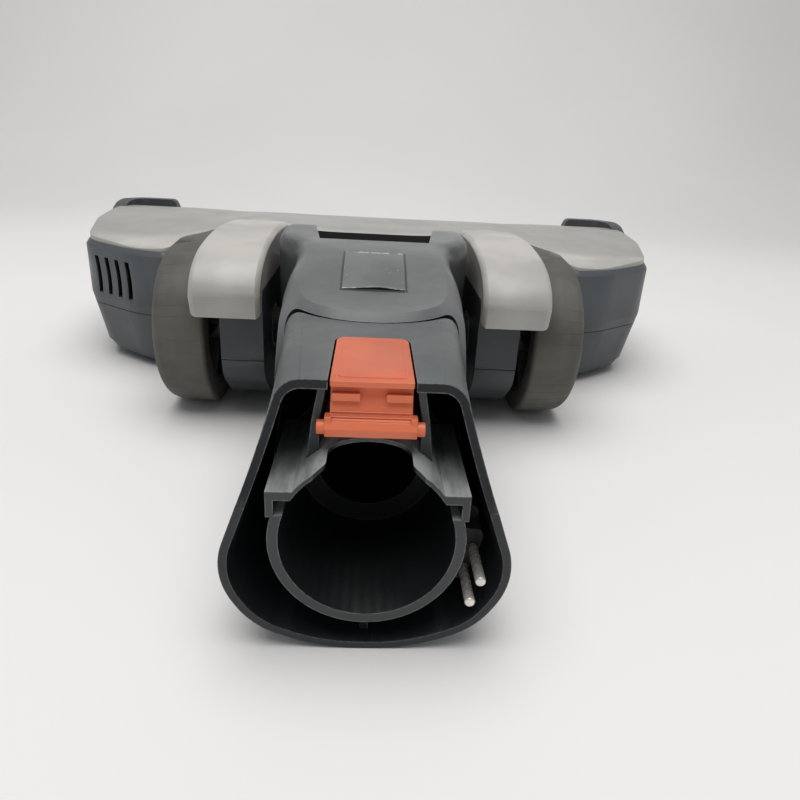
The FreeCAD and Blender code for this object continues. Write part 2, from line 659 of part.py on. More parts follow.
def swivel_sleeve():
    """Sleeve in the knuckle that the hood's rear tube turns in."""
    bore = REAR_TUBE_R + SLEEVE_GAP
    front = ring_y(SLEEVE_R, bore, -98.0, -63.2, NECK_Z)
    housing = ring_y(19.6, 17.4, -63.3, -44.0, NECK_Z)
    back = ring_y(18.5, DUCT_R + DUCT_WALL, -45.6, -44.0, NECK_Z)
    step = ring_y(19.6, bore, -65.0, -63.2, NECK_Z)
    disc = ring_y(24.0, 17.5, -74.0, -72.0, NECK_Z)
    disc = disc.common(box(-22.0, 22.0, -80, -60, 5.0, 52.0))
    return front.fuse(housing).fuse(back).fuse(step).fuse(disc)


# ---- knuckle ------------------------------------------------------------


def knuckle_body(shrink):
    """Rear body of the knuckle; shrink moves its walls inwards."""
    wires = []
    for y, half, bottom, top, r_low, r_top in KNUCKLE_SECTIONS:
        corners = mirror_corners([(half, bottom, r_low), (half, top, r_top)])
        wires.append(rounded_wire(inset(corners, shrink), on_xz(y)))
    body = loft(wires)
    reach = BALL_R - shrink
    ball = Part.makeSphere(reach, Vector(0, BALL_Y, NECK_Z))
    return body.common(ball.fuse(box(-60, 60, BALL_Y, 20, -20, 100)))


def knuckle_drum(shrink):
    """Wide front of the knuckle with both ears."""
    plan = mirror_corners([
        (15.0, -45.0, 0), (26.2, -31.0, 8.0), (EAR_HALF, -16.0, 9.0),
        (EAR_HALF, 25.0, 0)])
    plan = inset(plan, shrink)
    drum = prism_z(plan, PIVOT_Z, 72.0)
    top = PIVOT_Z + DRUM_TOP_R - shrink
    profile = cyl_x(DRUM_TOP_R - shrink, -40, 40, 0, PIVOT_Z)
    profile = profile.fuse(box(-40, 40, -45.0, 0, PIVOT_Z, top))
    profile = profile.common(box(-40, 40, -60, EAR_FRONT if shrink == 0 else 40, PIVOT_Z, 80))
    return drum.common(profile)


def knuckle_whole():
    """Outer shell of the knuckle before it is split into cover and base."""
    body = knuckle_body(0).fuse(knuckle_drum(0))
    hollow = knuckle_body(KNUCKLE_SKIN).fuse(knuckle_drum(KNUCKLE_SKIN))
    shell = body.cut(hollow)
    shell = shell.cut(prism_z(mirror_corners(NOTCH), 0, 80))
    shell = shell.cut(box(-60, 60, -120, LIP_Y, 52, 100))
    room = cyl_x(BARREL_R + CRADLE_GAP + CRADLE_WALL + 0.8, -BARREL_HALF - 0.6,
                 BARREL_HALF + 0.6, 0, PIVOT_Z)
    trunnions = cyl_x(TRUNNION_R, -60, 60, 0, PIVOT_Z)
    sleeve = cyl_y(SLEEVE_R, -120, -60, 0, NECK_Z)
    return shell.cut(room).cut(trunnions).cut(sleeve)


def label_outline(shrink):
    return inset([(-LABEL_HALF, LABEL_REAR, 1.5), (LABEL_HALF, LABEL_REAR, 1.5),
                  (LABEL_HALF, LABEL_FRONT, 1.5), (-LABEL_HALF, LABEL_FRONT, 1.5)], shrink)


def knuckle_parts():
    """Cover and base of the knuckle, and the blank label in the cover's recess."""
    shell = knuckle_whole()
    cover = shell.common(box(-60, 60, -120, 60, KNUCKLE_SPLIT, 100))
    base = shell.common(box(-60, 60, -120, 60, -20, KNUCKLE_SPLIT - SEAM_LINE))
    recess = prism_z(label_outline(0), 50, 90).cut(knuckle_body(LABEL_DEPTH))
    cover = cover.cut(recess)
    label = prism_z(label_outline(0.3), 50, 90).common(
        knuckle_body(LABEL_DEPTH - 0.35)).cut(knuckle_body(LABEL_DEPTH))
    return cover, base, label


# ---- hood ---------------------------------------------------------------


def hood_body(shrink):
    """Flared prism between the mouth and the swivel seam."""
    wires = []
    for y, half in ((MOUTH_Y, HOOD_MOUTH), (HOOD_SEAM_Y, HOOD_SEAM)):
        corners = [(a, NECK_Z + b, r) for a, b, r in mirror_corners(half)]
        wires.append(rounded_wire(inset(corners, shrink), on_xz(y)))
    return loft(wires)


def pad_outline(grow):
    """Plan of the latch pad; its far corners are rounded."""
    return inset([(-PAD_HALF, MOUTH_Y + PAD_START, 0), (PAD_HALF, MOUTH_Y + PAD_START, 0),
                  (PAD_HALF, MOUTH_Y + PAD_END, 2.5), (-PAD_HALF, MOUTH_Y + PAD_END, 2.5)],
                 -grow)


def hood_shell():
    """Outer hood with its slanted mouth and the opening for the latch pad."""
    shell = hood_body(0).cut(hood_body(HOOD_WALL))
    shell = shell.cut(Part.makeSphere(BALL_R + HOOD_GAP, Vector(0, BALL_Y, NECK_Z)))
    slant = prism_x([(MOUTH_Y - 5, NECK_Z + 4, 0), (MOUTH_Y, NECK_Z + 4, 12),
                     (MOUTH_Y + RIM_SET_BACK, NECK_Z + 33, 0), (MOUTH_Y - 5, NECK_Z + 33, 0)],
                    -60, 60)
    shell = shell.cut(slant)
    opening = prism_z(pad_outline(PAD_GAP), NECK_Z + 24, NECK_Z + 40)
    front = box(-PAD_HALF - PAD_GAP, PAD_HALF + PAD_GAP, MOUTH_Y - 5,
                MOUTH_Y + PAD_START + 1, NECK_Z + 24, NECK_Z + 40)
    shell = shell.cut(opening).cut(front)
    keel = box(-0.9, 0.9, MOUTH_Y + 4.0, MOUTH_Y + 44.0, 2.0,
               NECK_Z - SOCKET_R - SOCKET_WALL - 0.2)
    return shell.fuse(keel).fuse(hood_bulkhead())


def hood_bulkhead():
    """Domed wall across the hood's rear, with a round hole for the socket's rear tube."""
    ball = Part.makeSphere(BALL_R + HOOD_GAP + BULKHEAD_WALL, Vector(0, BALL_Y, NECK_Z))
    ball = ball.cut(Part.makeSphere(BALL_R + HOOD_GAP, Vector(0, BALL_Y, NECK_Z)))
    dome = ball.common(hood_body(HOOD_WALL - 0.2))
    dome = dome.common(box(-60, 60, MOUTH_Y, HOOD_SEAM_Y, -20, 100))
    return dome.cut(cyl_y(BULKHEAD_HOLE_R, MOUTH_Y, BALL_Y, 0, NECK_Z))


def wand_socket():
    """Socket for the wand, stepping down to the airway and the swivelling rear tube."""
    outer = SOCKET_R + SOCKET_WALL
    floor_y = MOUTH_Y + SOCKET_DEPTH
    lower = ring_y(outer, SOCKET_R, MOUTH_Y, floor_y, NECK_Z).common(
        box(-40, 40, MOUTH_Y - 1, floor_y + 1, -10, NECK_Z + FLANGE_LOW))
    roof = ring_y(SOCKET_R + ROOF_WALL, SOCKET_R, MOUTH_Y, floor_y, NECK_Z)
    mouth_cut = prism_z(mirror_corners([
        (8.6, MOUTH_Y + 9.8, 3.0), (8.6, MOUTH_Y + 2.0, 1.5), (13.4, MOUTH_Y - 2.0, 0),
        (13.4, MOUTH_Y - 6.0, 0)]), NECK_Z + FLANGE_LOW, NECK_Z + 40)
    socket = lower.fuse(roof.cut(mouth_cut))
    flange = box(15.0, FLANGE_OUT, MOUTH_Y, MOUTH_Y + FLANGE_LENGTH, NECK_Z + FLANGE_LOW,
                 NECK_Z + FLANGE_TOP)
    side = box(18.5, FLANGE_OUT, MOUTH_Y, MOUTH_Y + FLANGE_LENGTH, NECK_Z + 5.6,
               NECK_Z + FLANGE_TOP)
    shoulder = flange.fuse(side).cut(cyl_y(SOCKET_R, MOUTH_Y - 1, MOUTH_Y + 50, 0, NECK_Z))
    pocket = box(12.0, 18.7, MOUTH_Y - 1, MOUTH_Y + 7.0, NECK_Z + 6.0, NECK_Z + FLANGE_LOW)
    socket = socket.fuse(both(shoulder)).cut(both(pocket))
    step = ring_y(outer, DUCT_R, floor_y, floor_y + 2.0, NECK_Z)
    rear = ring_y(REAR_TUBE_R, DUCT_R, floor_y, -46.6, NECK_Z)
    return socket.fuse(step).fuse(rear)


def swivel_ring():
    """Ring on the end of the hood's rear tube that holds it in the sleeve."""
    return ring_y(17.0, REAR_TUBE_R, -63.0, -60.6, NECK_Z)


def latch_bracket():
    """Two upright walls that splay towards the socket, and the web between them."""
    wall = prism_y([(9.1, BRACKET_TOP, 0), (10.8, BRACKET_TOP, 0), (12.2, NECK_Z + 22, 4),
                    (13.4, NECK_Z + 12, 0), (10.4, NECK_Z + 12, 0), (10.4, NECK_Z + 22, 4)],
                   BRACKET_Y, BRACKET_Y + BRACKET_LENGTH)
    wall = wall.cut(cyl_x(LATCH_PIN_R + RUN_GAP, 5, 15, LATCH_Y, LATCH_Z))
    web = box(-11.0, 11.0, BRACKET_Y + BRACKET_LENGTH - 1.6, BRACKET_Y + BRACKET_LENGTH,
              NECK_Z + 14, BRACKET_TOP - 2.4)
    bracket = both(wall).fuse(web)
    bracket = bracket.cut(cyl_y(SOCKET_R + ROOF_WALL, MOUTH_Y - 5, MOUTH_Y + SOCKET_DEPTH, 0,
                                NECK_Z))
    bracket = bracket.cut(cyl_y(SOCKET_R + SOCKET_WALL, MOUTH_Y + SOCKET_DEPTH - 0.1,
                                MOUTH_Y + SOCKET_DEPTH + 20, 0, NECK_Z))
    dome_r = BALL_R + HOOD_GAP + BULKHEAD_WALL + 0.2
    return bracket.cut(Part.makeSphere(dome_r, Vector(0, BALL_Y, NECK_Z)))


def latch_button():
    """Press pad, front plate with bosses and ribs, cross bar and pivot pins."""
    pad = prism_z(pad_outline(0), PAD_TOP - PAD_THICK, PAD_TOP)
    face_y = MOUTH_Y + PAD_START
    plate = prism_x([(face_y, PAD_TOP - 0.4, 0), (face_y, PAD_TOP - 2.6, 0.4),
                     (face_y + 0.6, PAD_TOP - 3.2, 0.4), (face_y - 0.2, PAD_TOP - 7.6, 0.4),
                     (BAR_Y - 1.4, BAR_Z + 1.2, 0.4), (BAR_Y + 1.6, BAR_Z - 0.4, 0),
                     (face_y + 2.0, PAD_TOP - 7.6, 0), (face_y + 2.4, PAD_TOP - 0.4, 0)],
                    -PAD_HALF, PAD_HALF)
    bar = cyl_x(BAR_R, -BAR_HALF, BAR_HALF, BAR_Y, BAR_Z)
    pegs = cyl_x(PEG_R, -PEG_HALF, PEG_HALF, BAR_Y, BAR_Z)
    pivot = cyl_x(LATCH_PIN_R, -11.2, 11.2, LATCH_Y, LATCH_Z)
    saddle = box(-6.0, 6.0, LATCH_Y - 1.6, LATCH_Y + 1.6, LATCH_Z - 0.8, PAD_TOP - 1.0)
    button = pad.fuse(plate).fuse(bar).fuse(pegs).fuse(pivot).fuse(saddle)
    lip = box(-PAD_HALF, PAD_HALF, face_y - PAD_LIP, face_y + 0.5, PAD_TOP - 1.6, PAD_TOP)
    boss_z = PAD_TOP - 3.6
    boss = box(2.6, PAD_HALF - 0.3, face_y - 0.8, face_y + 1.5, boss_z - 0.9, boss_z + 0.9)
    return button.fuse(lip).fuse(both(boss))


def latch_spring():
    """Coil spring under the pad's far end, as separate closed turns."""
    turns = []
    y = MOUTH_Y + 33.0
    base = NECK_Z + SOCKET_R + SOCKET_WALL + SPRING_WIRE_R
    top = PAD_TOP - PAD_THICK - SPRING_WIRE_R - 0.05
    for i in range(SPRING_TURNS):
        z = base + (top - base) * i / (SPRING_TURNS - 1)
        turns.append(Part.makeTorus(SPRING_R, SPRING_WIRE_R, Vector(0, y, z), Vector(0, 0, 1)))
    return Part.makeCompound(turns)


def plug_body():
    """Insulating body of the two-pin plug beside the socket."""
    body = prism_y([(18.6, NECK_Z - 18.6, 1.0), (22.4, NECK_Z - 18.2, 2.0),
                    (25.2, NECK_Z - 12.5, 3.0), (26.5, NECK_Z - 6.9, 1.5),
                    (26.0, NECK_Z - 5.0, 1.0), (19.8, NECK_Z - 4.2, 1.0)],
                   PLUG_FACE, PLUG_FACE + PLUG_LENGTH)
    knob = cyl_y(1.9, PLUG_FACE + 5.0, PLUG_FACE + PLUG_LENGTH + 2.0, 24.0, NECK_Z - 3.6)
    body = body.fuse(knob).cut(cyl_y(SOCKET_R + SOCKET_WALL + 0.05, MOUTH_Y, MOUTH_Y + 60, 0,
                                     NECK_Z))
    for x, h in PLUG_PINS:
        body = body.cut(cyl_y(PIN_SHANK_R, PLUG_FACE - 1, PLUG_FACE + 8.0, x, NECK_Z + h))
    return body


def plug_pins():
    """Two nickel-plated pins, each on a thinner shank in the body, one solid each."""
    pins = []
    for x, h in PLUG_PINS:
        tip = MOUTH_Y + 0.1
        pin = cyl_y(PIN_R, tip, tip + PIN_FREE, x, NECK_Z + h)
        pin = pin.makeFillet(0.5, [e for e in pin.Edges if abs(e.BoundBox.YMax - tip) < 0.01])
        pins.append(pin.fuse(cyl_y(PIN_SHANK_R, tip + PIN_FREE, PLUG_FACE + 8.0, x, NECK_Z + h)))
    return Part.makeCompound(pins)


# ---- brush drive --------------------------------------------------------
def brush_shroud():
    """Curved inner wall of the brush chamber."""
    ring = ring_x(27.0, 25.4, BRUSH_LEFT - 1.0, BRUSH_RIGHT + 1.0, BRUSH_Y, BRUSH_Z)
    arch = ring.common(wedge_x(BRUSH_Y, BRUSH_Z, -25, 205, 40, -140, 140))
    return arch.cut(box(-DUCT_HALF - DUCT_SKIN, DUCT_HALF + DUCT_SKIN, 60, 90, 0,
                        DUCT_HIGH + DUCT_SKIN))


def brush_core():
    """Brush roll core with its stub shafts."""
    core = turned_x([
        (BRUSH_LEFT, 0, 0), (BRUSH_RIGHT, 0, 0), (BRUSH_RIGHT, CORE_R, 1.0),
        (BRUSH_LEFT, CORE_R, 1.0)], BRUSH_Y, BRUSH_Z)
    core = core.fuse(cyl_x(3.0, BRUSH_LEFT - 17.0, BRUSH_RIGHT + 6.0, BRUSH_Y, BRUSH_Z))
    for tuft in tuft_cylinders(CORE_R - 2.0, CORE_R + 2.0):
        core = core.cut(tuft)
    return core


def tuft_cylinders(r_in, r_out):
    """Round tufts along two opposite helices, from r_in to r_out."""
    tufts = []
    for row in range(2):
        for i in range(TUFTS_PER_ROW):
            share = (i + 0.5) / TUFTS_PER_ROW
            x = BRUSH_LEFT + (BRUSH_RIGHT - BRUSH_LEFT) * share
            angle = math.radians(180 * row + 200 * abs(share - 0.5))
            way = Vector(0, math.cos(angle), math.sin(angle))
            start = Vector(x, BRUSH_Y, BRUSH_Z) + way * r_in
            tufts.append(Part.makeCylinder(TUFT_BUNDLE_R, r_out - r_in, start, way))
    return tufts


def brush_pulley():
    """Pulley on the brush roll's left shaft."""
    x0 = BELT_X - BELT_WIDTH / 2 - 0.6
    x1 = BELT_X + BELT_WIDTH / 2 + 0.6
    pulley = cyl_x(BRUSH_PULLEY_R, x0, x1, BRUSH_Y, BRUSH_Z)
    pulley = pulley.fuse(cyl_x(BRUSH_PULLEY_R + 1.6, x0 - 1.0, x0, BRUSH_Y, BRUSH_Z))
    return pulley.cut(cyl_x(3.0, -130, -90, BRUSH_Y, BRUSH_Z))


def brush_bearing(x0):
    """Block that carries one end of the brush roll."""
    block = box(x0, x0 + 4.0, BRUSH_Y - 6, BRUSH_Y + 6, HOUSING_BOTTOM + 0.2, BRUSH_Z + 7)
    return block.cut(cyl_x(3.0 + RUN_GAP, x0 - 1, x0 + 5, BRUSH_Y, BRUSH_Z))


def drive_belt():
    """Belt round both pulleys."""
    grow = 0.35
    r_brush = BRUSH_PULLEY_R + grow
    r_motor = MOTOR_PULLEY_R + grow
    x0, x1 = BELT_X - BELT_WIDTH / 2, BELT_X + BELT_WIDTH / 2

    def hull(extra):
        big, small = r_brush + extra, r_motor + extra
        dy, dz = MOTOR_Y - BRUSH_Y, MOTOR_Z - BRUSH_Z
        length = math.hypot(dy, dz)
        lean = math.acos((big - small) / length)
        base = math.atan2(dz, dy)
        points = []
        for sign in (1, -1):
            angle = base + sign * lean
            way = Vector(0, math.cos(angle), math.sin(angle))
            points.append((Vector(x0, BRUSH_Y, BRUSH_Z) + way * big,
                           Vector(x0, MOTOR_Y, MOTOR_Z) + way * small))
        (a, b), (c, d) = points
        strip = Part.Face(Part.makePolygon([a, b, d, c, a])).extrude(Vector(x1 - x0, 0, 0))
        strip = strip.fuse(cyl_x(big, x0, x1, BRUSH_Y, BRUSH_Z))
        return strip.fuse(cyl_x(small, x0, x1, MOTOR_Y, MOTOR_Z))

    return hull(BELT_THICK).cut(hull(0))


def motor_can():
    """Motor's steel can with its end face."""
    can = ring_x(MOTOR_R, MOTOR_R - 1.4, MOTOR_X0, MOTOR_X1 - 3, MOTOR_Y, MOTOR_Z)
    face = ring_x(MOTOR_R, 2.0 + RUN_GAP, MOTOR_X0, MOTOR_X0 + 1.6, MOTOR_Y, MOTOR_Z)
    return can.fuse(face)


def motor_end_cap():
    """Plastic cap that closes the motor and carries the rear bearing."""
    cap = ring_x(MOTOR_R, 2.0 + RUN_GAP, MOTOR_X1 - 3, MOTOR_X1, MOTOR_Y, MOTOR_Z)
    return cap.fuse(ring_x(5.0, 2.0 + RUN_GAP, MOTOR_X1, MOTOR_X1 + 2.5, MOTOR_Y, MOTOR_Z))


def motor_rotor():
    """Shaft, laminated core and commutator."""
    rotor = cyl_x(2.0, BELT_X - 5.0, MOTOR_X1 + 2.0, MOTOR_Y, MOTOR_Z)
    rotor = rotor.fuse(cyl_x(9.0, MOTOR_X0 + 10, MOTOR_X1 - 16, MOTOR_Y, MOTOR_Z))
    return rotor.fuse(cyl_x(4.5, MOTOR_X1 - 13, MOTOR_X1 - 6, MOTOR_Y, MOTOR_Z))


def motor_pulley():
    """Small pulley on the motor shaft."""
    x0, x1 = BELT_X - BELT_WIDTH / 2 - 0.6, BELT_X + BELT_WIDTH / 2 + 0.6
    pulley = cyl_x(MOTOR_PULLEY_R, x0, x1, MOTOR_Y, MOTOR_Z)
    return pulley.cut(cyl_x(2.0, -120, -90, MOTOR_Y, MOTOR_Z))


def control_board():
    """Circuit board with its larger components, in the right end block."""
    board = box(62.0, 108.0, 50.0, 68.0, 34.0, 35.6)
    board = board.fuse(box(66.0, 78.0, 54.0, 64.0, 35.6, 43.0))
    board = board.fuse(cyl_z(4.0, 35.6, 46.0, 88.0, 60.0))
    board = board.fuse(box(96.0, 104.0, 53.0, 61.0, 35.6, 40.0))
    return board


def board_posts():
    """Two plastic posts that hold the circuit board on the sole."""
    return Part.makeCompound([cyl_z(2.5, HOUSING_BOTTOM, 34.0, x, 59.0) for x in (66.0, 104.0)])


os.makedirs("parts", exist_ok=True)

lower, upper = housing_halves()
save("lower_housing", lower)
save("upper_housing", upper)
save("sole_plate", sole_plate())
save("sole_screws", sole_screws())
save("lint_strip_front", lint_strip(LINT_Y[1]))
save("lint_strip_rear", lint_strip(LINT_Y[0]))
save("front_bumper", front_bumper())
save("top_cover", top_cover())

for side, place in (("right", lambda shape: shape), ("left", mirrored)):
    save("wheel_tyre_" + side, place(tyre()))
    save("wheel_hub_" + side, place(wheel_hub()))
    save("hub_cap_" + side, place(hub_cap()))
    save("axle_pin_" + side, place(axle_pin()))
    save("axle_clip_" + side, place(axle_clip()))
    save("hinge_bush_" + side, place(hinge_bush()))
    save("front_roller_" + side, place(front_roller()))
    save("front_roller_fork_" + side, place(front_roller_fork()))
    save("front_roller_pin_" + side, place(front_roller_pin()))

save("suction_duct", suction_duct())
save("tilt_drum", tilt_drum())
save("swivel_sleeve", swivel_sleeve())
cover, base, label = knuckle_parts()
save("knuckle_cover", cover)
save("knuckle_base", base)
save("blank_label", label)

save("hood_shell", hood_shell())
save("wand_socket", wand_socket())
save("swivel_ring", swivel_ring())
save("latch_bracket", latch_bracket())
save("latch_button", latch_button())
save("latch_spring", latch_spring())
save("plug_body", plug_body())
save("plug_pins", plug_pins())

save("brush_shroud", brush_shroud())
save("brush_core", brush_core())
save("brush_tufts", Part.makeCompound(tuft_cylinders(CORE_R - 2.0, TUFT_R)))
save("brush_pulley", brush_pulley())
save("brush_bearing_left", brush_bearing(BRUSH_LEFT - 16.8))
save("brush_bearing_right", brush_bearing(BRUSH_RIGHT + 1.4))
save("drive_belt", drive_belt())
save("motor_can", motor_can())
save("motor_end_cap", motor_end_cap())
save("motor_rotor", motor_rotor())
save("motor_pulley", motor_pulley())
save("control_board", control_board())
save("board_posts", board_posts())
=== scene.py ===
import json
import math

import bmesh
import bpy
from mathutils import Matrix, Vector
from mathutils.bvhtree import BVHTree


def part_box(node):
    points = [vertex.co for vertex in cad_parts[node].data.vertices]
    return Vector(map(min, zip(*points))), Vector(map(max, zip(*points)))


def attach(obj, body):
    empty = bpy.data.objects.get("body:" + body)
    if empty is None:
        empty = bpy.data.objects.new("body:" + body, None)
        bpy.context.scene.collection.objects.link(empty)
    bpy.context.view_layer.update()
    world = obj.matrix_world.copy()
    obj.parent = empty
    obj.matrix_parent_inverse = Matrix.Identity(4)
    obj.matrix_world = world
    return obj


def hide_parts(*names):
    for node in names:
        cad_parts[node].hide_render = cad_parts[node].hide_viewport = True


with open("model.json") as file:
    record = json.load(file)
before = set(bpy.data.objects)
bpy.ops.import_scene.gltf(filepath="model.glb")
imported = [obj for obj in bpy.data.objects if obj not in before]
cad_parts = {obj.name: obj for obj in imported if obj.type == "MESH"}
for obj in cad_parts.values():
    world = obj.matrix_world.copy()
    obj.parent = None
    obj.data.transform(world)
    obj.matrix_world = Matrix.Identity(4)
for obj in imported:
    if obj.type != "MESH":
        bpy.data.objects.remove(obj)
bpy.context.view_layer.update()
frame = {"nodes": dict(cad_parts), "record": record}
MM = 0.001
NECK_Z = 27.5 * MM             # the neck's axis runs along Y at this height


# ---- materials ----------------------------------------------------------
# A pair is where a painted shade or painted light starts and where it is full, in metres.
# painted shade deep in the wand socket
SOCKET_DEEP_Y = (-0.125, -0.112)
SOCKET_DEEP_R = (0.019, 0.0175)
RECESS_X = (0.034, 0.030)      # painted shade in the recess where the neck meets the cover
FRONT_SHADE_Y = (0.046, 0.058)       # the front part of the cover, darkened as painted shade where it falls away from the light
# painted light on the upper part of the housing's end blocks
END_BLOCK_X = (0.07, 0.09)
END_BLOCK_Z = (0.026, 0.044)
OUTLINE_BLUR = 0.0003
GROOVE = (0.0001, 0.0007)      # inner and outer distance from the label

DUST = (0.42, 0.40, 0.37)
CHALK = (0.36, 0.375, 0.375)
# The recess, neck, socket and knuckle colours below are painted shade; the groove colour is the
# dark line round the label.
RECESS_SHADE_COLOUR = (0.012, 0.013, 0.014)
GROOVE_DARK = (0.016, 0.018, 0.019)
NECK_SHADE_COLOUR = (0.014, 0.0165, 0.019)
SOCKET_SHADE_COLOUR = (0.009, 0.0105, 0.0115)
KNUCKLE_SHADE_COLOUR = (0.028, 0.031, 0.033)


def tone(colour, factor, lift=0.0):
    """The colour made lighter or darker."""
    return tuple(min(1.0, part * factor + lift) for part in colour)


class Shader:
    """Small helper that wires one node material. Places and widths are in metres."""

    def __init__(self, name):
        self.material = bpy.data.materials.new(name)
        self.material.use_nodes = True
        self.nodes = self.material.node_tree.nodes
        self.links = self.material.node_tree.links
        self.surface = self.nodes["Principled BSDF"]
        self.place = self.add("ShaderNodeTexCoord").outputs["Object"]

    def add(self, kind, **settings):
        node = self.nodes.new(kind)
        for key, value in settings.items():
            setattr(node, key, value)
        return node

    def link(self, output, target):
        self.links.new(output, target)

    def noise(self, scale, detail=3.0, stretch=(1, 1, 1), rough=0.5):
        mapping = self.add("ShaderNodeMapping")
        mapping.inputs["Scale"].default_value = stretch
        self.link(self.place, mapping.inputs["Vector"])
        node = self.add("ShaderNodeTexNoise")
        node.inputs["Scale"].default_value = scale
        node.inputs["Detail"].default_value = detail
        node.inputs["Roughness"].default_value = rough
        self.link(mapping.outputs["Vector"], node.inputs["Vector"])
        return node.outputs["Fac"]

    def ramp(self, value, low, high, out_low=0.0, out_high=1.0):
        node = self.add("ShaderNodeMapRange")
        node.interpolation_type = "SMOOTHSTEP"
        node.inputs["From Min"].default_value = low
        node.inputs["From Max"].default_value = high
        node.inputs["To Min"].default_value = out_low
        node.inputs["To Max"].default_value = out_high
        self.link(value, node.inputs["Value"])
        return node.outputs["Result"]

    def mix(self, factor, first, second):
        node = self.add("ShaderNodeMix", data_type="RGBA")
        self.link(factor, node.inputs["Factor"])
        for value, socket in ((first, node.inputs[6]), (second, node.inputs[7])):
            if isinstance(value, tuple):
                socket.default_value = (*value, 1.0)
            else:
                self.link(value, socket)
        return node.outputs[2]

    def bump(self, height, distance, strength=1.0, normal=None):
        node = self.add("ShaderNodeBump")
        node.inputs["Distance"].default_value = distance
        node.inputs["Strength"].default_value = strength
        self.link(height, node.inputs["Height"])
        if normal is not None:
            self.link(normal, node.inputs["Normal"])
        return node.outputs["Normal"]

    def math(self, operation, first, second=0.0):
        node = self.add("ShaderNodeMath", operation=operation)
        for value, socket in ((first, node.inputs[0]), (second, node.inputs[1])):
            if isinstance(value, float):
                socket.default_value = value
            else:
                self.link(value, socket)
        return node.outputs[0]

    def times(self, first, second):
        return self.math("MULTIPLY", first, second)

    def vector(self, operation, first, second, output="Vector"):
        node = self.add("ShaderNodeVectorMath", operation=operation)
        for value, socket in ((first, node.inputs[0]), (second, node.inputs[1])):
            if isinstance(value, tuple):
                socket.default_value = value
            else:
                self.link(value, socket)
        return node.outputs[output]

    def parts(self, vector):
        node = self.add("ShaderNodeSeparateXYZ")
        self.link(vector, node.inputs["Vector"])
        return node.outputs["X"], node.outputs["Y"], node.outputs["Z"]

    def normal(self):
        """Surface normal in the object's own directions."""
        node = self.add("ShaderNodeVectorTransform", vector_type="NORMAL",
                        convert_from="WORLD", convert_to="OBJECT")
        self.link(self.add("ShaderNodeNewGeometry").outputs["Normal"], node.inputs["Vector"])
        return node.outputs["Vector"]

    def edges(self, radius=0.0005, spread=(0.33, 0.55), scale=1100):
        """1 along edges, broken up by noise."""
        rounded = self.add("ShaderNodeBevel", samples=4)
        rounded.inputs["Radius"].default_value = radius
        flat = self.add("ShaderNodeNewGeometry").outputs["Normal"]
        same = self.vector("DOT_PRODUCT", rounded.outputs["Normal"], flat, "Value")
        return self.times(self.ramp(same, 0.985, 0.90), self.ramp(self.noise(scale, 5), *spread))

    def upward(self):
        """1 where the surface faces up."""
        return self.ramp(self.parts(self.normal())[2], 0.35, 0.95)

    def outline(self, node, start, end):
        """1 in a thin frame round a node's box, between two distances from it in plan."""
        low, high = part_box(node)
        middle = tuple((a + b) / 2 for a, b in zip(low, high))
        x, y, _ = self.parts(self.vector("SUBTRACT", self.place, middle))
        beyond_x = self.math("SUBTRACT", self.math("ABSOLUTE", x), (high[0] - low[0]) / 2)
        beyond_y = self.math("SUBTRACT", self.math("ABSOLUTE", y), (high[1] - low[1]) / 2)
        beyond = self.math("MAXIMUM", beyond_x, beyond_y)
        return self.times(self.ramp(beyond, start - OUTLINE_BLUR, start),
                          self.ramp(beyond, end, end - OUTLINE_BLUR))

    def sheltered(self, front=1.0):
        """1 inside the neck: on faces that look at its axis, and deep in the wand socket.

        Faces that look out of the neck's mouth get the value front. The mask places the painted
        shade inside the neck and keeps edges unworn there."""
        normal = self.normal()
        from_axis = self.vector("MULTIPLY", self.vector("SUBTRACT", self.place,
                                                        (0.0, 0.0, NECK_Z)), (1.0, 0.0, 1.0))
        radial = self.vector("NORMALIZE", from_axis, (0.0, 0.0, 0.0))
        distance = self.vector("LENGTH", from_axis, (0.0, 0.0, 0.0), "Value")
        inward = self.ramp(self.vector("DOT_PRODUCT", normal, radial, "Value"), 0.25, -0.25)
        outlook = self.ramp(self.parts(normal)[1], -0.45, -0.8, 0.0, front)
        deep = self.times(self.ramp(self.parts(self.place)[1], *SOCKET_DEEP_Y),
                          self.ramp(distance, *SOCKET_DEEP_R))
        return self.math("MAXIMUM", self.math("MAXIMUM", inward, outlook), deep)


# A tint is a function that adds one local change of colour to a plastic; all but chalky paint
# light or shade.
def painted_front_shade(shader, base, colour):
    """Painted shade: near black on rear-facing faces by the neck, and darker towards the front of
    the cover.
    """
    x, y, _ = shader.parts(shader.place)
    recess = shader.times(shader.ramp(shader.parts(shader.normal())[1], -0.5, -0.8),
                          shader.ramp(shader.math("ABSOLUTE", x), *RECESS_X))
    base = shader.mix(recess, base, RECESS_SHADE_COLOUR)
    return shader.mix(shader.times(shader.ramp(y, *FRONT_SHADE_Y), 0.75), base, tone(colour, 0.62))


def lit_end_blocks(shader, base, colour):
    """Painted light: the housing's end blocks are lighter towards the top, where they lean back
    into the light.
    """
    x, _, z = shader.parts(shader.place)
    outer = shader.ramp(shader.math("ABSOLUTE", x), *END_BLOCK_X)
    high = shader.ramp(z, *END_BLOCK_Z, 0.45, 1.0)
    return shader.mix(shader.times(outer, high), base, tone(colour, 2.2))


def lit_front_faces(pale):
    """Painted light: faces that look out of the neck's mouth are lighter, as where light falls on
    them.
    """
    def tint(shader, base, colour):
        outlook = shader.ramp(shader.parts(shader.normal())[1], -0.3, -0.75)
        return shader.mix(outlook, base, pale)
    return tint


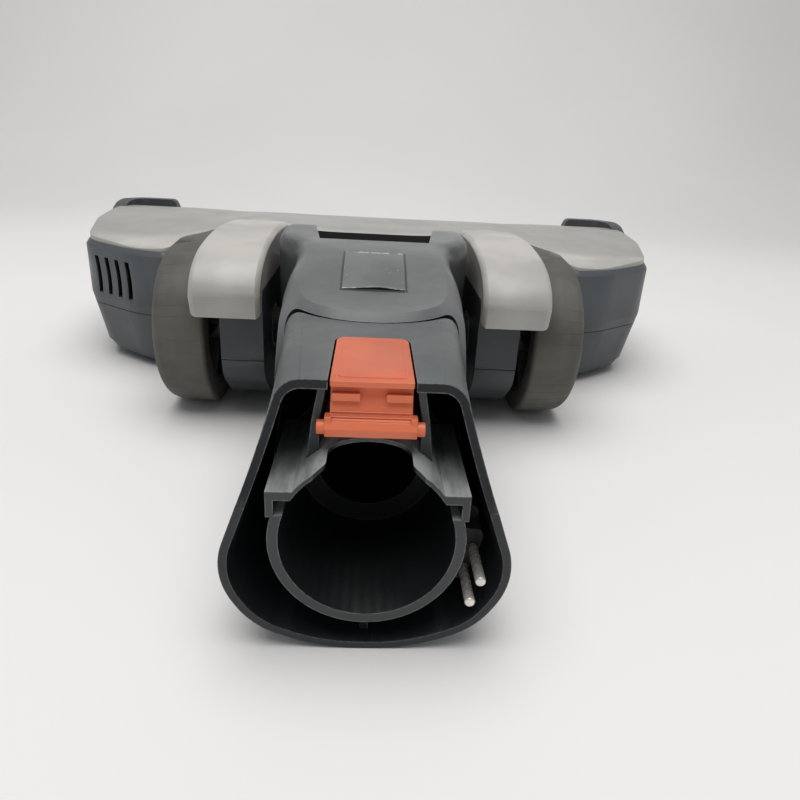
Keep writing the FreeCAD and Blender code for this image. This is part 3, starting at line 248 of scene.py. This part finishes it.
def chalky(amount):
    """Chalky rubbing on faces that look up."""
    def tint(shader, base, colour):
        facing = shader.ramp(shader.parts(shader.normal())[2], 0.1, 0.6)
        rubbed = shader.ramp(shader.noise(150, 6, (2.5, 0.5, 1), 0.65), 0.34, 0.62, 0.45, 1.0)
        return shader.mix(shader.times(shader.times(facing, rubbed), amount), base, CHALK)
    return tint


def neck_shade(dark, front=1.0):
    """Painted shade: darkens the faces inside the neck, and by the share front those that look out
    of its mouth.
    """
    def tint(shader, base, colour):
        return shader.mix(shader.sheltered(front), base, dark)
    return tint


def painted_side_shade(dark):
    """Painted shade: faces that look sideways are darker, as in the deep shade beside the knuckle.
    """
    def tint(shader, base, colour):
        sideways = shader.math("ABSOLUTE", shader.parts(shader.normal())[0])
        return shader.mix(shader.ramp(sideways, 0.5, 0.9, 0.0, 0.85), base, dark)
    return tint


def plastic(name, colour, rough=0.45, grain=2600.0, grain_depth=0.00003, wear=0.35,
            dust=0.12, worn=None, specular=0.5, scratch=0.12, wear_width=0.0004,
            in_neck=False, outlined=None, tints=()):
    """Moulded plastic: fine grain, blotches, scratches, dust, tints and worn edges; most tints are
    painted light or shade.

    in_neck leaves edges inside the neck unworn; outlined is a node with a groove round it."""
    shader = Shader(name)
    pale = worn or tone(colour, 1.8, 0.03)
    base = shader.mix(shader.ramp(shader.noise(38, 4), 0.35, 0.68), tone(colour, 0.86),
                      tone(colour, 1.1, 0.004))
    lines = shader.ramp(shader.noise(90, 6, (1, 14, 1), 0.7), 0.64, 0.7)
    base = shader.mix(shader.times(lines, scratch), base, pale)
    dusty = shader.times(shader.upward(), shader.ramp(shader.noise(160, 5), 0.42, 0.75))
    base = shader.mix(shader.times(dusty, dust), base, DUST)
    for tint in tints:
        base = tint(shader, base, colour)
    rubbed = shader.times(shader.edges(wear_width), wear)
    if in_neck:
        open_air = shader.math("SUBTRACT", 1.0, shader.times(shader.sheltered(0.0), 0.8))
        rubbed = shader.times(rubbed, open_air)
    base = shader.mix(rubbed, base, pale)
    if outlined is not None:
        base = shader.mix(shader.times(shader.outline(outlined, *GROOVE), 0.85), base,
                          GROOVE_DARK)
    shader.link(base, shader.surface.inputs["Base Color"])
    spread = shader.ramp(shader.noise(55, 4), 0.3, 0.7, rough - 0.06, rough + 0.09)
    shader.link(spread, shader.surface.inputs["Roughness"])
    shader.surface.inputs["Specular IOR Level"].default_value = specular
    shader.link(shader.bump(shader.noise(grain, 2), grain_depth), shader.surface.inputs["Normal"])
    return shader.material


TYRE_LINES = 46.0              # fine moulding lines across a tyre's tread


def rubber(name, colour, centre=None):
    """Worn rubber: blotchy, with fine pitting, and lines across the tread if centre is given.

    centre is the tyre's axle, as (y, z)."""
    shader = Shader(name)
    base = shader.mix(shader.ramp(shader.noise(70, 5), 0.3, 0.7), tone(colour, 0.72), colour)
    streaks = shader.ramp(shader.noise(60, 5, (0.12, 1, 1), 0.6), 0.5, 0.72)
    base = shader.mix(shader.times(streaks, 0.35), base, tone(colour, 1.35))
    if centre is not None:
        away = shader.vector("SUBTRACT", shader.place, (0.0, *centre))
        _, across, up = shader.parts(away)
        turn = shader.times(shader.math("ARCTAN2", up, across), TYRE_LINES / math.tau)
        wobble = shader.times(shader.noise(35, 2), 0.8)
        line = shader.ramp(shader.math("FRACT", shader.math("ADD", turn, wobble)), 0.12, 0.0)
        line = shader.times(line, shader.ramp(shader.noise(45, 3), 0.4, 0.6))
        base = shader.mix(shader.times(line, 0.7), base, tone(colour, 0.45))
    base = shader.mix(shader.times(shader.edges(), 0.4), base, tone(colour, 1.5))
    shader.link(base, shader.surface.inputs["Base Color"])
    spread = shader.ramp(shader.noise(90, 4), 0.3, 0.7, 0.55, 0.78)
    shader.link(spread, shader.surface.inputs["Roughness"])
    shader.surface.inputs["Specular IOR Level"].default_value = 0.35
    fine = shader.bump(shader.noise(1500, 3), 0.00005)
    shader.link(shader.bump(shader.noise(240, 3, (0.15, 1, 1)), 0.0001, 0.6, fine),
                shader.surface.inputs["Normal"])
    return shader.material


def metal(name, colour, rough=0.22, brushed=(1, 1, 1), metallic=1.0):
    """Plated or turned metal with fine scratches and slight tarnish."""
    shader = Shader(name)
    shader.surface.inputs["Metallic"].default_value = metallic
    base = shader.mix(shader.ramp(shader.noise(260, 4), 0.35, 0.7), tone(colour, 0.8), colour)
    shader.link(base, shader.surface.inputs["Base Color"])
    spread = shader.ramp(shader.noise(900, 4, brushed), 0.3, 0.7, rough - 0.05, rough + 0.07)
    shader.link(spread, shader.surface.inputs["Roughness"])
    shader.link(shader.bump(shader.noise(9000, 2, brushed), 0.000002),
                shader.surface.inputs["Normal"])
    return shader.material


# The recess, end-block, latch-front, neck and side tints paint light or shade; chalky is chalky
# wear.
MATERIALS = {
    "dark_housing": plastic("dark_housing", (0.037, 0.042, 0.046), 0.42, wear=0.3,
                            tints=(lit_end_blocks,)),
    "light_cover": plastic("light_cover", (0.50, 0.482, 0.45), 0.36, wear=0.12, dust=0.03,
                           scratch=0.05, tints=(painted_front_shade,)),
    "neck_grey": plastic("neck_grey", (0.088, 0.098, 0.100), 0.36, wear=0.75, dust=0.05,
                         worn=(0.34, 0.35, 0.34), in_neck=True, tints=(neck_shade(NECK_SHADE_COLOUR),)),
    "bumper_dark": plastic("bumper_dark", (0.055, 0.06, 0.063), 0.5),
    "tyre_rubber": rubber("tyre_rubber", (0.125, 0.12, 0.105), (0.005, 0.0308)),
    "hub_grey": plastic("hub_grey", (0.07, 0.073, 0.073), 0.45),
    "socket_grey": plastic("socket_grey", (0.085, 0.094, 0.097), 0.40, wear=1.0, scratch=0.5,
                           wear_width=0.00045, worn=(0.36, 0.37, 0.36), in_neck=True,
                           tints=(chalky(0.8), neck_shade(SOCKET_SHADE_COLOUR, 0.6))),
    "latch_orange": plastic("latch_orange", (0.64, 0.125, 0.045), 0.34, wear=0.25, dust=0.02,
                            worn=(0.78, 0.30, 0.17), scratch=0.05,
                            tints=(lit_front_faces((0.84, 0.20, 0.09)),)),
    "black_plastic": plastic("black_plastic", (0.022, 0.023, 0.024), 0.4),
    "nickel": metal("nickel", (0.95, 0.91, 0.82), 0.26, metallic=0.45),
    "steel": metal("steel", (0.56, 0.55, 0.53), 0.3, (1, 12, 12)),
    "brush_red": plastic("brush_red", (0.24, 0.03, 0.025), 0.4),
    "bristle": plastic("bristle", (0.03, 0.03, 0.034), 0.5),
    "pile": plastic("pile", (0.25, 0.03, 0.03), 0.8, 900.0, 0.0003),
    "belt_rubber": rubber("belt_rubber", (0.03, 0.03, 0.03)),
    "board_green": plastic("board_green", (0.03, 0.16, 0.06), 0.3),
    "label_grey": plastic("label_grey", (0.165, 0.178, 0.176), 0.3, 1800.0, 0.00001, wear=0.2,
                          dust=0.02),
    "white_plastic": plastic("white_plastic", (0.62, 0.61, 0.57), 0.4)}
# Painted shade on the knuckle's rear lip, its inside and its sideways faces.
KNUCKLE_GREY = plastic("knuckle_grey", (0.140, 0.148, 0.150), 0.34, wear=0.45, dust=0.05,
                       worn=(0.34, 0.35, 0.34), specular=0.55, in_neck=True,
                       outlined="blank_label",
                       tints=(neck_shade(KNUCKLE_SHADE_COLOUR, 0.9), painted_side_shade(KNUCKLE_SHADE_COLOUR)))
PLUG_BLACK = plastic("plug_black", (0.060, 0.056, 0.060), 0.6, 700.0, 0.0004, wear=0.5, dust=0.0,
                     worn=(0.16, 0.16, 0.16), wear_width=0.0006)

# ---- CAD nodes ----------------------------------------------------------
CAD_EDGE = 0.4 * MM            # radius of the softened edges


def soften(obj, width, angle=32.0, segments=2):
    """Round the sharp edges of a piece with modifiers."""
    weld = obj.modifiers.new("weld", "WELD")
    weld.merge_threshold = 0.00001
    bevel = obj.modifiers.new("bevel", "BEVEL")
    bevel.width = width
    bevel.segments = segments
    bevel.limit_method = "ANGLE"
    bevel.angle_limit = math.radians(angle)
    bevel.use_clamp_overlap = True
    bevel.harden_normals = True


for entry in frame["record"]["subparts"]:
    node = frame["nodes"][entry["node"]]
    node.data.materials.clear()
    node.data.materials.append(MATERIALS[entry["material_slot"]])
    soften(node, CAD_EDGE)
frame["nodes"]["plug_body"].data.materials[0] = PLUG_BLACK


# ---- detailed pieces ----------------------------------------------------
def as_object(mesh, name):
    """Put a bmesh into the scene as a new object."""
    data = bpy.data.meshes.new(name)
    mesh.to_mesh(data)
    mesh.free()
    obj = bpy.data.objects.new(name, data)
    bpy.context.scene.collection.objects.link(obj)
    return obj


def prism(mesh, outline, along, low, high):
    """Extrude a 2D outline in millimetres: (y, z) along X, or (x, y) along Z."""
    rings = []
    for level in (low, high):
        ring = []
        for a, b in outline:
            place = (level, a, b) if along == "X" else (a, b, level)
            ring.append(mesh.verts.new([value * MM for value in place]))
        rings.append(ring)
    bottom, top = rings
    mesh.faces.new(bottom)
    mesh.faces.new(list(reversed(top)))
    for i in range(len(outline)):
        mesh.faces.new((bottom[i - 1], top[i - 1], top[i], bottom[i]))


def block(mesh, x0, x1, y0, y1, z0, z1):
    """Box with flat sides, in millimetres."""
    prism(mesh, [(y0, z0), (y1, z0), (y1, z1), (y0, z1)], "X", x0, x1)


def disc(mesh, radius, x0, x1, y, z, sides=24):
    """Cylinder along X, in millimetres."""
    turns = [math.tau * i / sides for i in range(sides)]
    prism(mesh, [(y + radius * math.cos(t), z + radius * math.sin(t)) for t in turns],
          "X", x0, x1)


def rounded_plan(half, near, far, near_r, far_r, steps=6):
    """Plan of a pad: half width, near and far edge, and the corner radii."""
    plan = []
    for cx, cy, radius, start in ((half - near_r, near + near_r, near_r, -90),
                                  (half - far_r, far - far_r, far_r, 0),
                                  (far_r - half, far - far_r, far_r, 90),
                                  (near_r - half, near + near_r, near_r, 180)):
        for i in range(steps + 1):
            angle = math.radians(start + 90 * i / steps)
            plan.append((cx + radius * math.cos(angle), cy + radius * math.sin(angle)))
    return plan


def finish_piece(mesh, name, material, body, replaced, width=0.25):
    """Turn a bmesh into a visible piece that rides on a body. width is its edge radius."""
    bmesh.ops.recalc_face_normals(mesh, faces=mesh.faces[:])
    piece = as_object(mesh, name)
    for face in piece.data.polygons:
        face.use_smooth = True
    piece.data.materials.append(material)
    soften(piece, width * MM, 30.0, 3)
    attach(piece, body)
    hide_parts(replaced)
    return piece


# Latch, in millimetres. Places in latch_piece count back from its near edge and down from its top.
PAD_HALF = 8.4                 # half widths
PLATE_HALF = 8.3
RIB_HALF = 8.1
BAR_HALF = 9.3
LUG_INNER = 7.9                # raised ends of the bar
STUB_HALF = 10.9               # round ends of the bar, which run in the bracket
STUB_R = 1.5
PIVOT_HALF = 11.2
PIVOT_R = 1.1
RIB_HEIGHT = 0.35
GRIPS = ((-8.0, -2.3), (2.9, 8.2))      # two raised grips across the plate


def latch_piece():
    """Press pad with its panel and lip, the ribbed plate, and the bar that locks the wand."""
    low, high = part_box("latch_button")
    near, far = low[1] / MM, high[1] / MM
    top = high[2] / MM
    mesh = bmesh.new()
    prism(mesh, rounded_plan(PAD_HALF, near + 2.6, far, 0.5, 2.4), "Z", top - 1.5, top - 0.2)
    prism(mesh, rounded_plan(PAD_HALF - 1.5, near + 5.0, far - 1.4, 0.8, 1.6), "Z", top - 1.0,
          top)
    prism(mesh, rounded_plan(PAD_HALF - 0.4, near + 5.0, far - 0.4, 0.4, 2.2), "Z", top - 2.4,
          top - 1.6)
    plate = [(near + 3.6, top - 1.3), (near + 4.3, top - 2.2), (near + 4.0, top - 3.6),
             (near + 2.2, top - 7.4), (near + 1.0, top - 8.4), (near + 3.4, top - 9.8),
             (near + 6.0, top - 6.0), (near + 6.6, top - 1.3)]
    prism(mesh, plate, "X", -PLATE_HALF, PLATE_HALF)
    for x0, x1 in GRIPS:
        block(mesh, x0, x1, near + 2.6, near + 5.4, top - 4.5, top - 2.9)
    for drop, proud in ((6.4, 2.2), (7.3, 1.6)):
        block(mesh, -RIB_HALF, RIB_HALF, near + proud, near + 5.0, top - drop - RIB_HEIGHT,
              top - drop)
    bar = [(near + 0.5, top - 11.4), (near + 3.4, top - 11.6), (near + 3.8, top - 9.0),
           (near + 3.0, top - 8.0), (near + 0.9, top - 8.1), (near, top - 9.6)]
    prism(mesh, bar, "X", -BAR_HALF, BAR_HALF)
    for side in (-1, 1):
        x0, x1 = sorted((side * LUG_INNER, side * BAR_HALF))
        block(mesh, x0, x1, near + 0.7, near + 3.2, top - 9.0, top - 7.2)
    disc(mesh, STUB_R, -STUB_HALF, STUB_HALF, near + 1.9, top - 9.8)
    disc(mesh, PIVOT_R, -PIVOT_HALF, PIVOT_HALF, near + 20.0, top - 4.6)
    block(mesh, -6.0, 6.0, near + 18.4, near + 21.6, top - 5.4, top - 2.0)
    return finish_piece(mesh, "latch_pad", MATERIALS["latch_orange"], "latch",
                        "latch_button", 0.35)


# Knuckle, in millimetres.
AXLE_Y = 5.0                   # wheel and tilt axle
AXLE_Z = 30.8
BALL_Y = AXLE_Y - 62.4         # sphere that the swivel seam lies on
BALL_R = 41.2
COVER_BOTTOM = 27.1
COVER_WALL = 2.3
SIDE_END_Y = AXLE_Y - 91.5     # the sides stop here, short of the sphere
TRUNNION_R = 7.05
TRUNNION_X = (26.0, 60.0)
NOTCH_Y = (AXLE_Y - 28.5, AXLE_Y + 22.0, AXLE_Y + 60.0)
NOTCH_HALF = (18.4, 24.5, 24.5)
NOTCH_TOP = 90.0
# distance from the axle, half width, top and edge radius of the knuckle's cover
COVER_SECTIONS = ((20.0, 34.4, 64.4, 4.0), (8.0, 34.4, 69.0, 4.0), (-6.0, 34.4, 69.9, 4.5),
                  (-16.0, 33.4, 69.9, 5.0), (-24.0, 29.8, 69.9, 5.0), (-31.0, 26.2, 69.8, 5.5),
                  (-40.0, 24.8, 69.3, 6.0), (-48.0, 24.8, 68.3, 6.5), (-57.0, 25.6, 66.4, 6.5),
                  (-66.0, 26.0, 63.6, 6.3), (-72.0, 25.8, 62.0, 6.3),
                  (-79.0, 25.5, 61.1, 6.3), (-88.0, 25.3, 60.7, 6.3), (-97.0, 25.3, 60.7, 6.3))
COVER_ROWS = 70                # rows from front to rear
ARCH_STEPS = 64                # steps round an arch
SIDE_SHARE = 0.3               # share of half an arch that is its side, and that is its corner
LIP_HEIGHT = 1.9               # the rear edge rolls in by this much
LIP_STEPS = 4
SEAM_PASSES = 8                # passes that find where the arch meets the sphere


def section_at(y):
    """Half width, top and edge radius at y, on a smooth curve through the sections."""
    places = [AXLE_Y + row[0] for row in COVER_SECTIONS]
    y = min(max(y, places[-1]), places[0])
    i = next(k for k in range(len(places) - 1) if places[k + 1] <= y)
    t = (places[i] - y) / (places[i] - places[i + 1])
    values = []
    for column in (1, 2, 3):
        line = [COVER_SECTIONS[min(max(i + k, 0), len(places) - 1)][column]
                for k in (-1, 0, 1, 2)]
        a, b, c, d = line
        values.append(0.5 * (2 * b + (c - a) * t + (2 * a - 5 * b + 4 * c - d) * t * t
                             + (3 * b - a - 3 * c + d) * t ** 3))
    return values


def section_point(share, half, top, radius):
    """Point on an arch, walked from the right foot (0) to the left foot (1)."""
    side = 1 if share <= 0.5 else -1
    share = min(share, 1 - share) * 2
    corner_end = 2 * SIDE_SHARE
    if share < SIDE_SHARE:
        height = top - radius - COVER_BOTTOM
        return side * half, COVER_BOTTOM + height * share / SIDE_SHARE
    if share < corner_end:
        angle = math.radians(90 * (share - SIDE_SHARE) / SIDE_SHARE)
        return (side * (half - radius + radius * math.cos(angle)),
                top - radius + radius * math.sin(angle))
    return side * (half - radius) * (1 - (share - corner_end) / (1 - corner_end)), top


def rear_end(share, sink=0.0):
    """Where the cover's arch, sunk inwards by sink, meets the seam's sphere."""
    y = SIDE_END_Y
    for _ in range(SEAM_PASSES):
        half, top, radius = section_at(y)
        x, z = section_point(share, half - sink, top - sink, radius - sink)
        reach = max(BALL_R ** 2 - x * x - (z - NECK_Z / MM) ** 2, 0.0)
        y = max(BALL_Y - math.sqrt(reach), SIDE_END_Y)
    return x, y, z


def cover_cutter():
    """Slot between the ears and the holes for the tilt trunnions."""
    mesh = bmesh.new()
    right = list(zip(NOTCH_HALF, NOTCH_Y))
    left = [(-x, y) for x, y in reversed(right)]
    prism(mesh, left[-1:] + right + left[:-1], "Z", 0.0, NOTCH_TOP)
    inner, outer = TRUNNION_X
    disc(mesh, TRUNNION_R, -outer, -inner, AXLE_Y, AXLE_Z, 48)
    disc(mesh, TRUNNION_R, inner, outer, AXLE_Y, AXLE_Z, 48)
    bmesh.ops.recalc_face_normals(mesh, faces=mesh.faces[:])
    return as_object(mesh, "cover_cutter")


def knuckle_piece():
    """Upper shell of the knuckle: rounded ears, waist, bulge and a rolled rear lip."""
    mesh = bmesh.new()
    shares = [k / ARCH_STEPS for k in range(ARCH_STEPS + 1)]
    ends = [rear_end(share)[1] for share in shares]
    front = AXLE_Y + COVER_SECTIONS[0][0]
    rows = []
    for j in range(COVER_ROWS + 1):
        ring = []
        for share, end in zip(shares, ends):
            y = front + (end - front) * j / COVER_ROWS
            x, z = section_point(share, *section_at(y))
            ring.append(mesh.verts.new((x * MM, y * MM, z * MM)))
        rows.append(ring)
    for step in range(1, LIP_STEPS + 1):
        sunk = [rear_end(share, LIP_HEIGHT * step / LIP_STEPS) for share in shares]
        rows.append([mesh.verts.new([value * MM for value in place]) for place in sunk])
    for first, second in zip(rows, rows[1:]):
        for k in range(len(shares) - 1):
            mesh.faces.new((first[k], first[k + 1], second[k + 1], second[k]))
    bmesh.ops.recalc_face_normals(mesh, faces=mesh.faces[:])
    raw = as_object(mesh, "knuckle_shell_raw")
    wall = raw.modifiers.new("wall", "SOLIDIFY")
    wall.thickness = COVER_WALL * MM
    wall.offset = -1.0
    wall.use_even_offset = True
    cutter = cover_cutter()
    cut = raw.modifiers.new("cut", "BOOLEAN")
    cut.object = cutter
    cut.operation = "DIFFERENCE"
    cut.solver = "EXACT"
    bpy.context.view_layer.update()
    shaped = bpy.data.meshes.new_from_object(raw.evaluated_get(
        bpy.context.evaluated_depsgraph_get()))
    shell = bmesh.new()
    shell.from_mesh(shaped)
    for leftover in (raw, cutter):
        bpy.data.objects.remove(leftover)
    return finish_piece(shell, "knuckle_shell", KNUCKLE_GREY, "knuckle",
                        "knuckle_cover", 0.7)


# Label, in millimetres. Its rear edge has come loose.
LABEL_STEPS = 36
LABEL_MARGIN = (0.01, 0.008)   # share of the label's width and length left free at each edge
LABEL_THICK = 0.25
CURL_HEIGHT = 0.75
CURL_REACH = 3.2
CURL_HALF = 5.5
CURL_X = 1.0
RAY_START = 0.1                # metres, well above the knuckle


def label_material():
    """Scuffed grey film with pale marks along two edges and dark ones along the far edge."""
    shader = Shader("label_worn")
    base = shader.mix(shader.ramp(shader.noise(60, 4), 0.35, 0.65), (0.125, 0.134, 0.132),
                      (0.158, 0.167, 0.165))
    low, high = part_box("blank_label")
    along = shader.parts(shader.place)[1]
    far_edge = shader.ramp(along, high[1] - 1.6 * MM, high[1] - 0.4 * MM)
    near_edge = shader.ramp(along, low[1] + 1.2 * MM, low[1] + 0.2 * MM)
    pale = shader.times(shader.math("MAXIMUM", far_edge, near_edge),
                        shader.ramp(shader.noise(420, 3), 0.50, 0.58))
    dark = shader.times(far_edge, shader.ramp(shader.noise(300, 3, (1, 2, 1)), 0.55, 0.62))
    base = shader.mix(shader.times(dark, 0.8), base, (0.02, 0.02, 0.02))
    base = shader.mix(shader.times(pale, 0.85), base, (0.60, 0.60, 0.58))
    specks = shader.ramp(shader.noise(900, 2), 0.70, 0.74)
    base = shader.mix(shader.times(specks, 0.6), base, (0.45, 0.45, 0.43))
    shader.link(base, shader.surface.inputs["Base Color"])
    shader.link(shader.ramp(shader.noise(80, 4), 0.3, 0.7, 0.28, 0.42),
                shader.surface.inputs["Roughness"])
    shader.link(shader.bump(shader.noise(500, 4), 0.00004), shader.surface.inputs["Normal"])
    return shader.material


def between(low, high, margin, share):
    """Point a share of the way from low to high, with a margin at both ends."""
    return low + (high - low) * (margin + (1 - 2 * margin) * share)


def label_piece(knuckle):
    """Blank label that follows the knuckle, with its rear edge peeling up."""
    low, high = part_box("blank_label")
    tree = BVHTree.FromObject(knuckle, bpy.context.evaluated_depsgraph_get())
    mesh = bmesh.new()
    grid = []
    for j in range(LABEL_STEPS + 1):
        y = between(low[1], high[1], LABEL_MARGIN[1], j / LABEL_STEPS)
        row = []
        for i in range(LABEL_STEPS + 1):
            x = between(low[0], high[0], LABEL_MARGIN[0], i / LABEL_STEPS)
            point = tree.ray_cast(Vector((x, y, RAY_START)), Vector((0, 0, -1)))[0]
            loose = max(0.0, 1 - (y - low[1]) / (CURL_REACH * MM))
            lift = CURL_HEIGHT * loose ** 2 * math.exp(-((x / MM - CURL_X) / CURL_HALF) ** 2)
            row.append(mesh.verts.new((x, y, point.z + (LABEL_THICK + lift) * MM)))
        grid.append(row)
    for first, second in zip(grid, grid[1:]):
        for i in range(LABEL_STEPS):
            mesh.faces.new((first[i], first[i + 1], second[i + 1], second[i]))
    bmesh.ops.solidify(mesh, geom=mesh.faces[:], thickness=LABEL_THICK * MM)
    return finish_piece(mesh, "label_plate", label_material(), "knuckle",
                        "blank_label", 0.04)


latch_piece()
label_piece(knuckle_piece())


# ---- stage, light and camera --------------------------------------------
SWEEP_START = 0.55             # where the paper starts to curve up behind the object
SWEEP_R = 0.55
SWEEP_STEPS = 24
PAPER_REACH = 3.0
PAPER_TOP = 2.2
PAPER_TONES = (0.84, 0.825, 0.815), (0.88, 0.865, 0.855)

SOFTBOX_PLACE = (-0.05, -0.10, 1.15)
SOFTBOX_TARGET = (0, 0.0, 0)
SOFTBOX_SIZE = 1.3
SOFTBOX_POWER = 12.4
SOFTBOX_COLOUR = (1.0, 0.99, 0.975)
SKY_COLOUR = (0.93, 0.96, 1.0, 1)
SKY_STRENGTH = 0.30

CAMERA_PLACE = (-0.00132, -0.24573, 0.10508)
CAMERA_TURNS = (22.69, 3.32, 3.22)      # degrees down, to the right and rolled
CAMERA_LENS = 29.16
CAMERA_SENSOR = 36.0


def make_stage():
    """Seamless pale paper: a flat floor that curves up into a wall."""
    profile = [(-PAPER_REACH, 0.0), (SWEEP_START, 0.0)]
    for i in range(1, SWEEP_STEPS + 1):
        angle = math.radians(90 * i / SWEEP_STEPS)
        profile.append((SWEEP_START + SWEEP_R * math.sin(angle),
                        SWEEP_R * (1 - math.cos(angle))))
    profile.append((SWEEP_START + SWEEP_R, PAPER_TOP))
    paper = bmesh.new()
    rows = [[paper.verts.new((x, y, z)) for x in (-PAPER_REACH, PAPER_REACH)]
            for y, z in profile]
    for low, high in zip(rows, rows[1:]):
        paper.faces.new((low[0], low[1], high[1], high[0]))
    floor = as_object(paper, "paper_sweep")
    for face in floor.data.polygons:
        face.use_smooth = True
    shader = Shader("paper")
    base = shader.mix(shader.ramp(shader.noise(2.5, 3), 0.3, 0.7), *PAPER_TONES)
    shader.link(base, shader.surface.inputs["Base Color"])
    shader.surface.inputs["Roughness"].default_value = 0.6
    shader.surface.inputs["Specular IOR Level"].default_value = 0.25
    floor.data.materials.append(shader.material)


def make_lights():
    """One large soft lamp overhead and a pale sky."""
    data = bpy.data.lights.new("softbox", "AREA")
    data.shape = "DISK"
    data.size = SOFTBOX_SIZE
    data.energy = SOFTBOX_POWER
    data.color = SOFTBOX_COLOUR
    lamp = bpy.data.objects.new("softbox", data)
    lamp.location = SOFTBOX_PLACE
    aim = Vector(SOFTBOX_TARGET) - Vector(SOFTBOX_PLACE)
    lamp.rotation_euler = aim.to_track_quat("-Z", "Y").to_euler()
    bpy.context.scene.collection.objects.link(lamp)
    world = bpy.data.worlds.new("studio")
    world.use_nodes = True
    sky = world.node_tree.nodes["Background"].inputs
    sky["Color"].default_value = SKY_COLOUR
    sky["Strength"].default_value = SKY_STRENGTH
    bpy.context.scene.world = world


def make_camera():
    """Stands behind the head, looking down along the neck."""
    pitch, yaw, roll = (math.radians(angle) for angle in CAMERA_TURNS)
    forward = Vector((math.sin(yaw) * math.cos(pitch), math.cos(yaw) * math.cos(pitch),
                      -math.sin(pitch)))
    right = Vector((math.cos(yaw), -math.sin(yaw), 0))
    up = right.cross(forward)
    turned_right = right * math.cos(roll) + up * math.sin(roll)
    turned_up = up * math.cos(roll) - right * math.sin(roll)
    data = bpy.data.cameras.new("camera")
    data.sensor_width = CAMERA_SENSOR
    data.lens = CAMERA_LENS
    data.clip_start = 0.01
    camera = bpy.data.objects.new("camera", data)
    axes = Matrix((turned_right, turned_up, -forward)).transposed()
    camera.matrix_world = Matrix.Translation(CAMERA_PLACE) @ axes.to_4x4()
    bpy.context.scene.collection.objects.link(camera)
    bpy.context.scene.camera = camera


make_stage()
make_camera()
make_lights()
bpy.context.scene.view_settings.view_transform = "Standard"
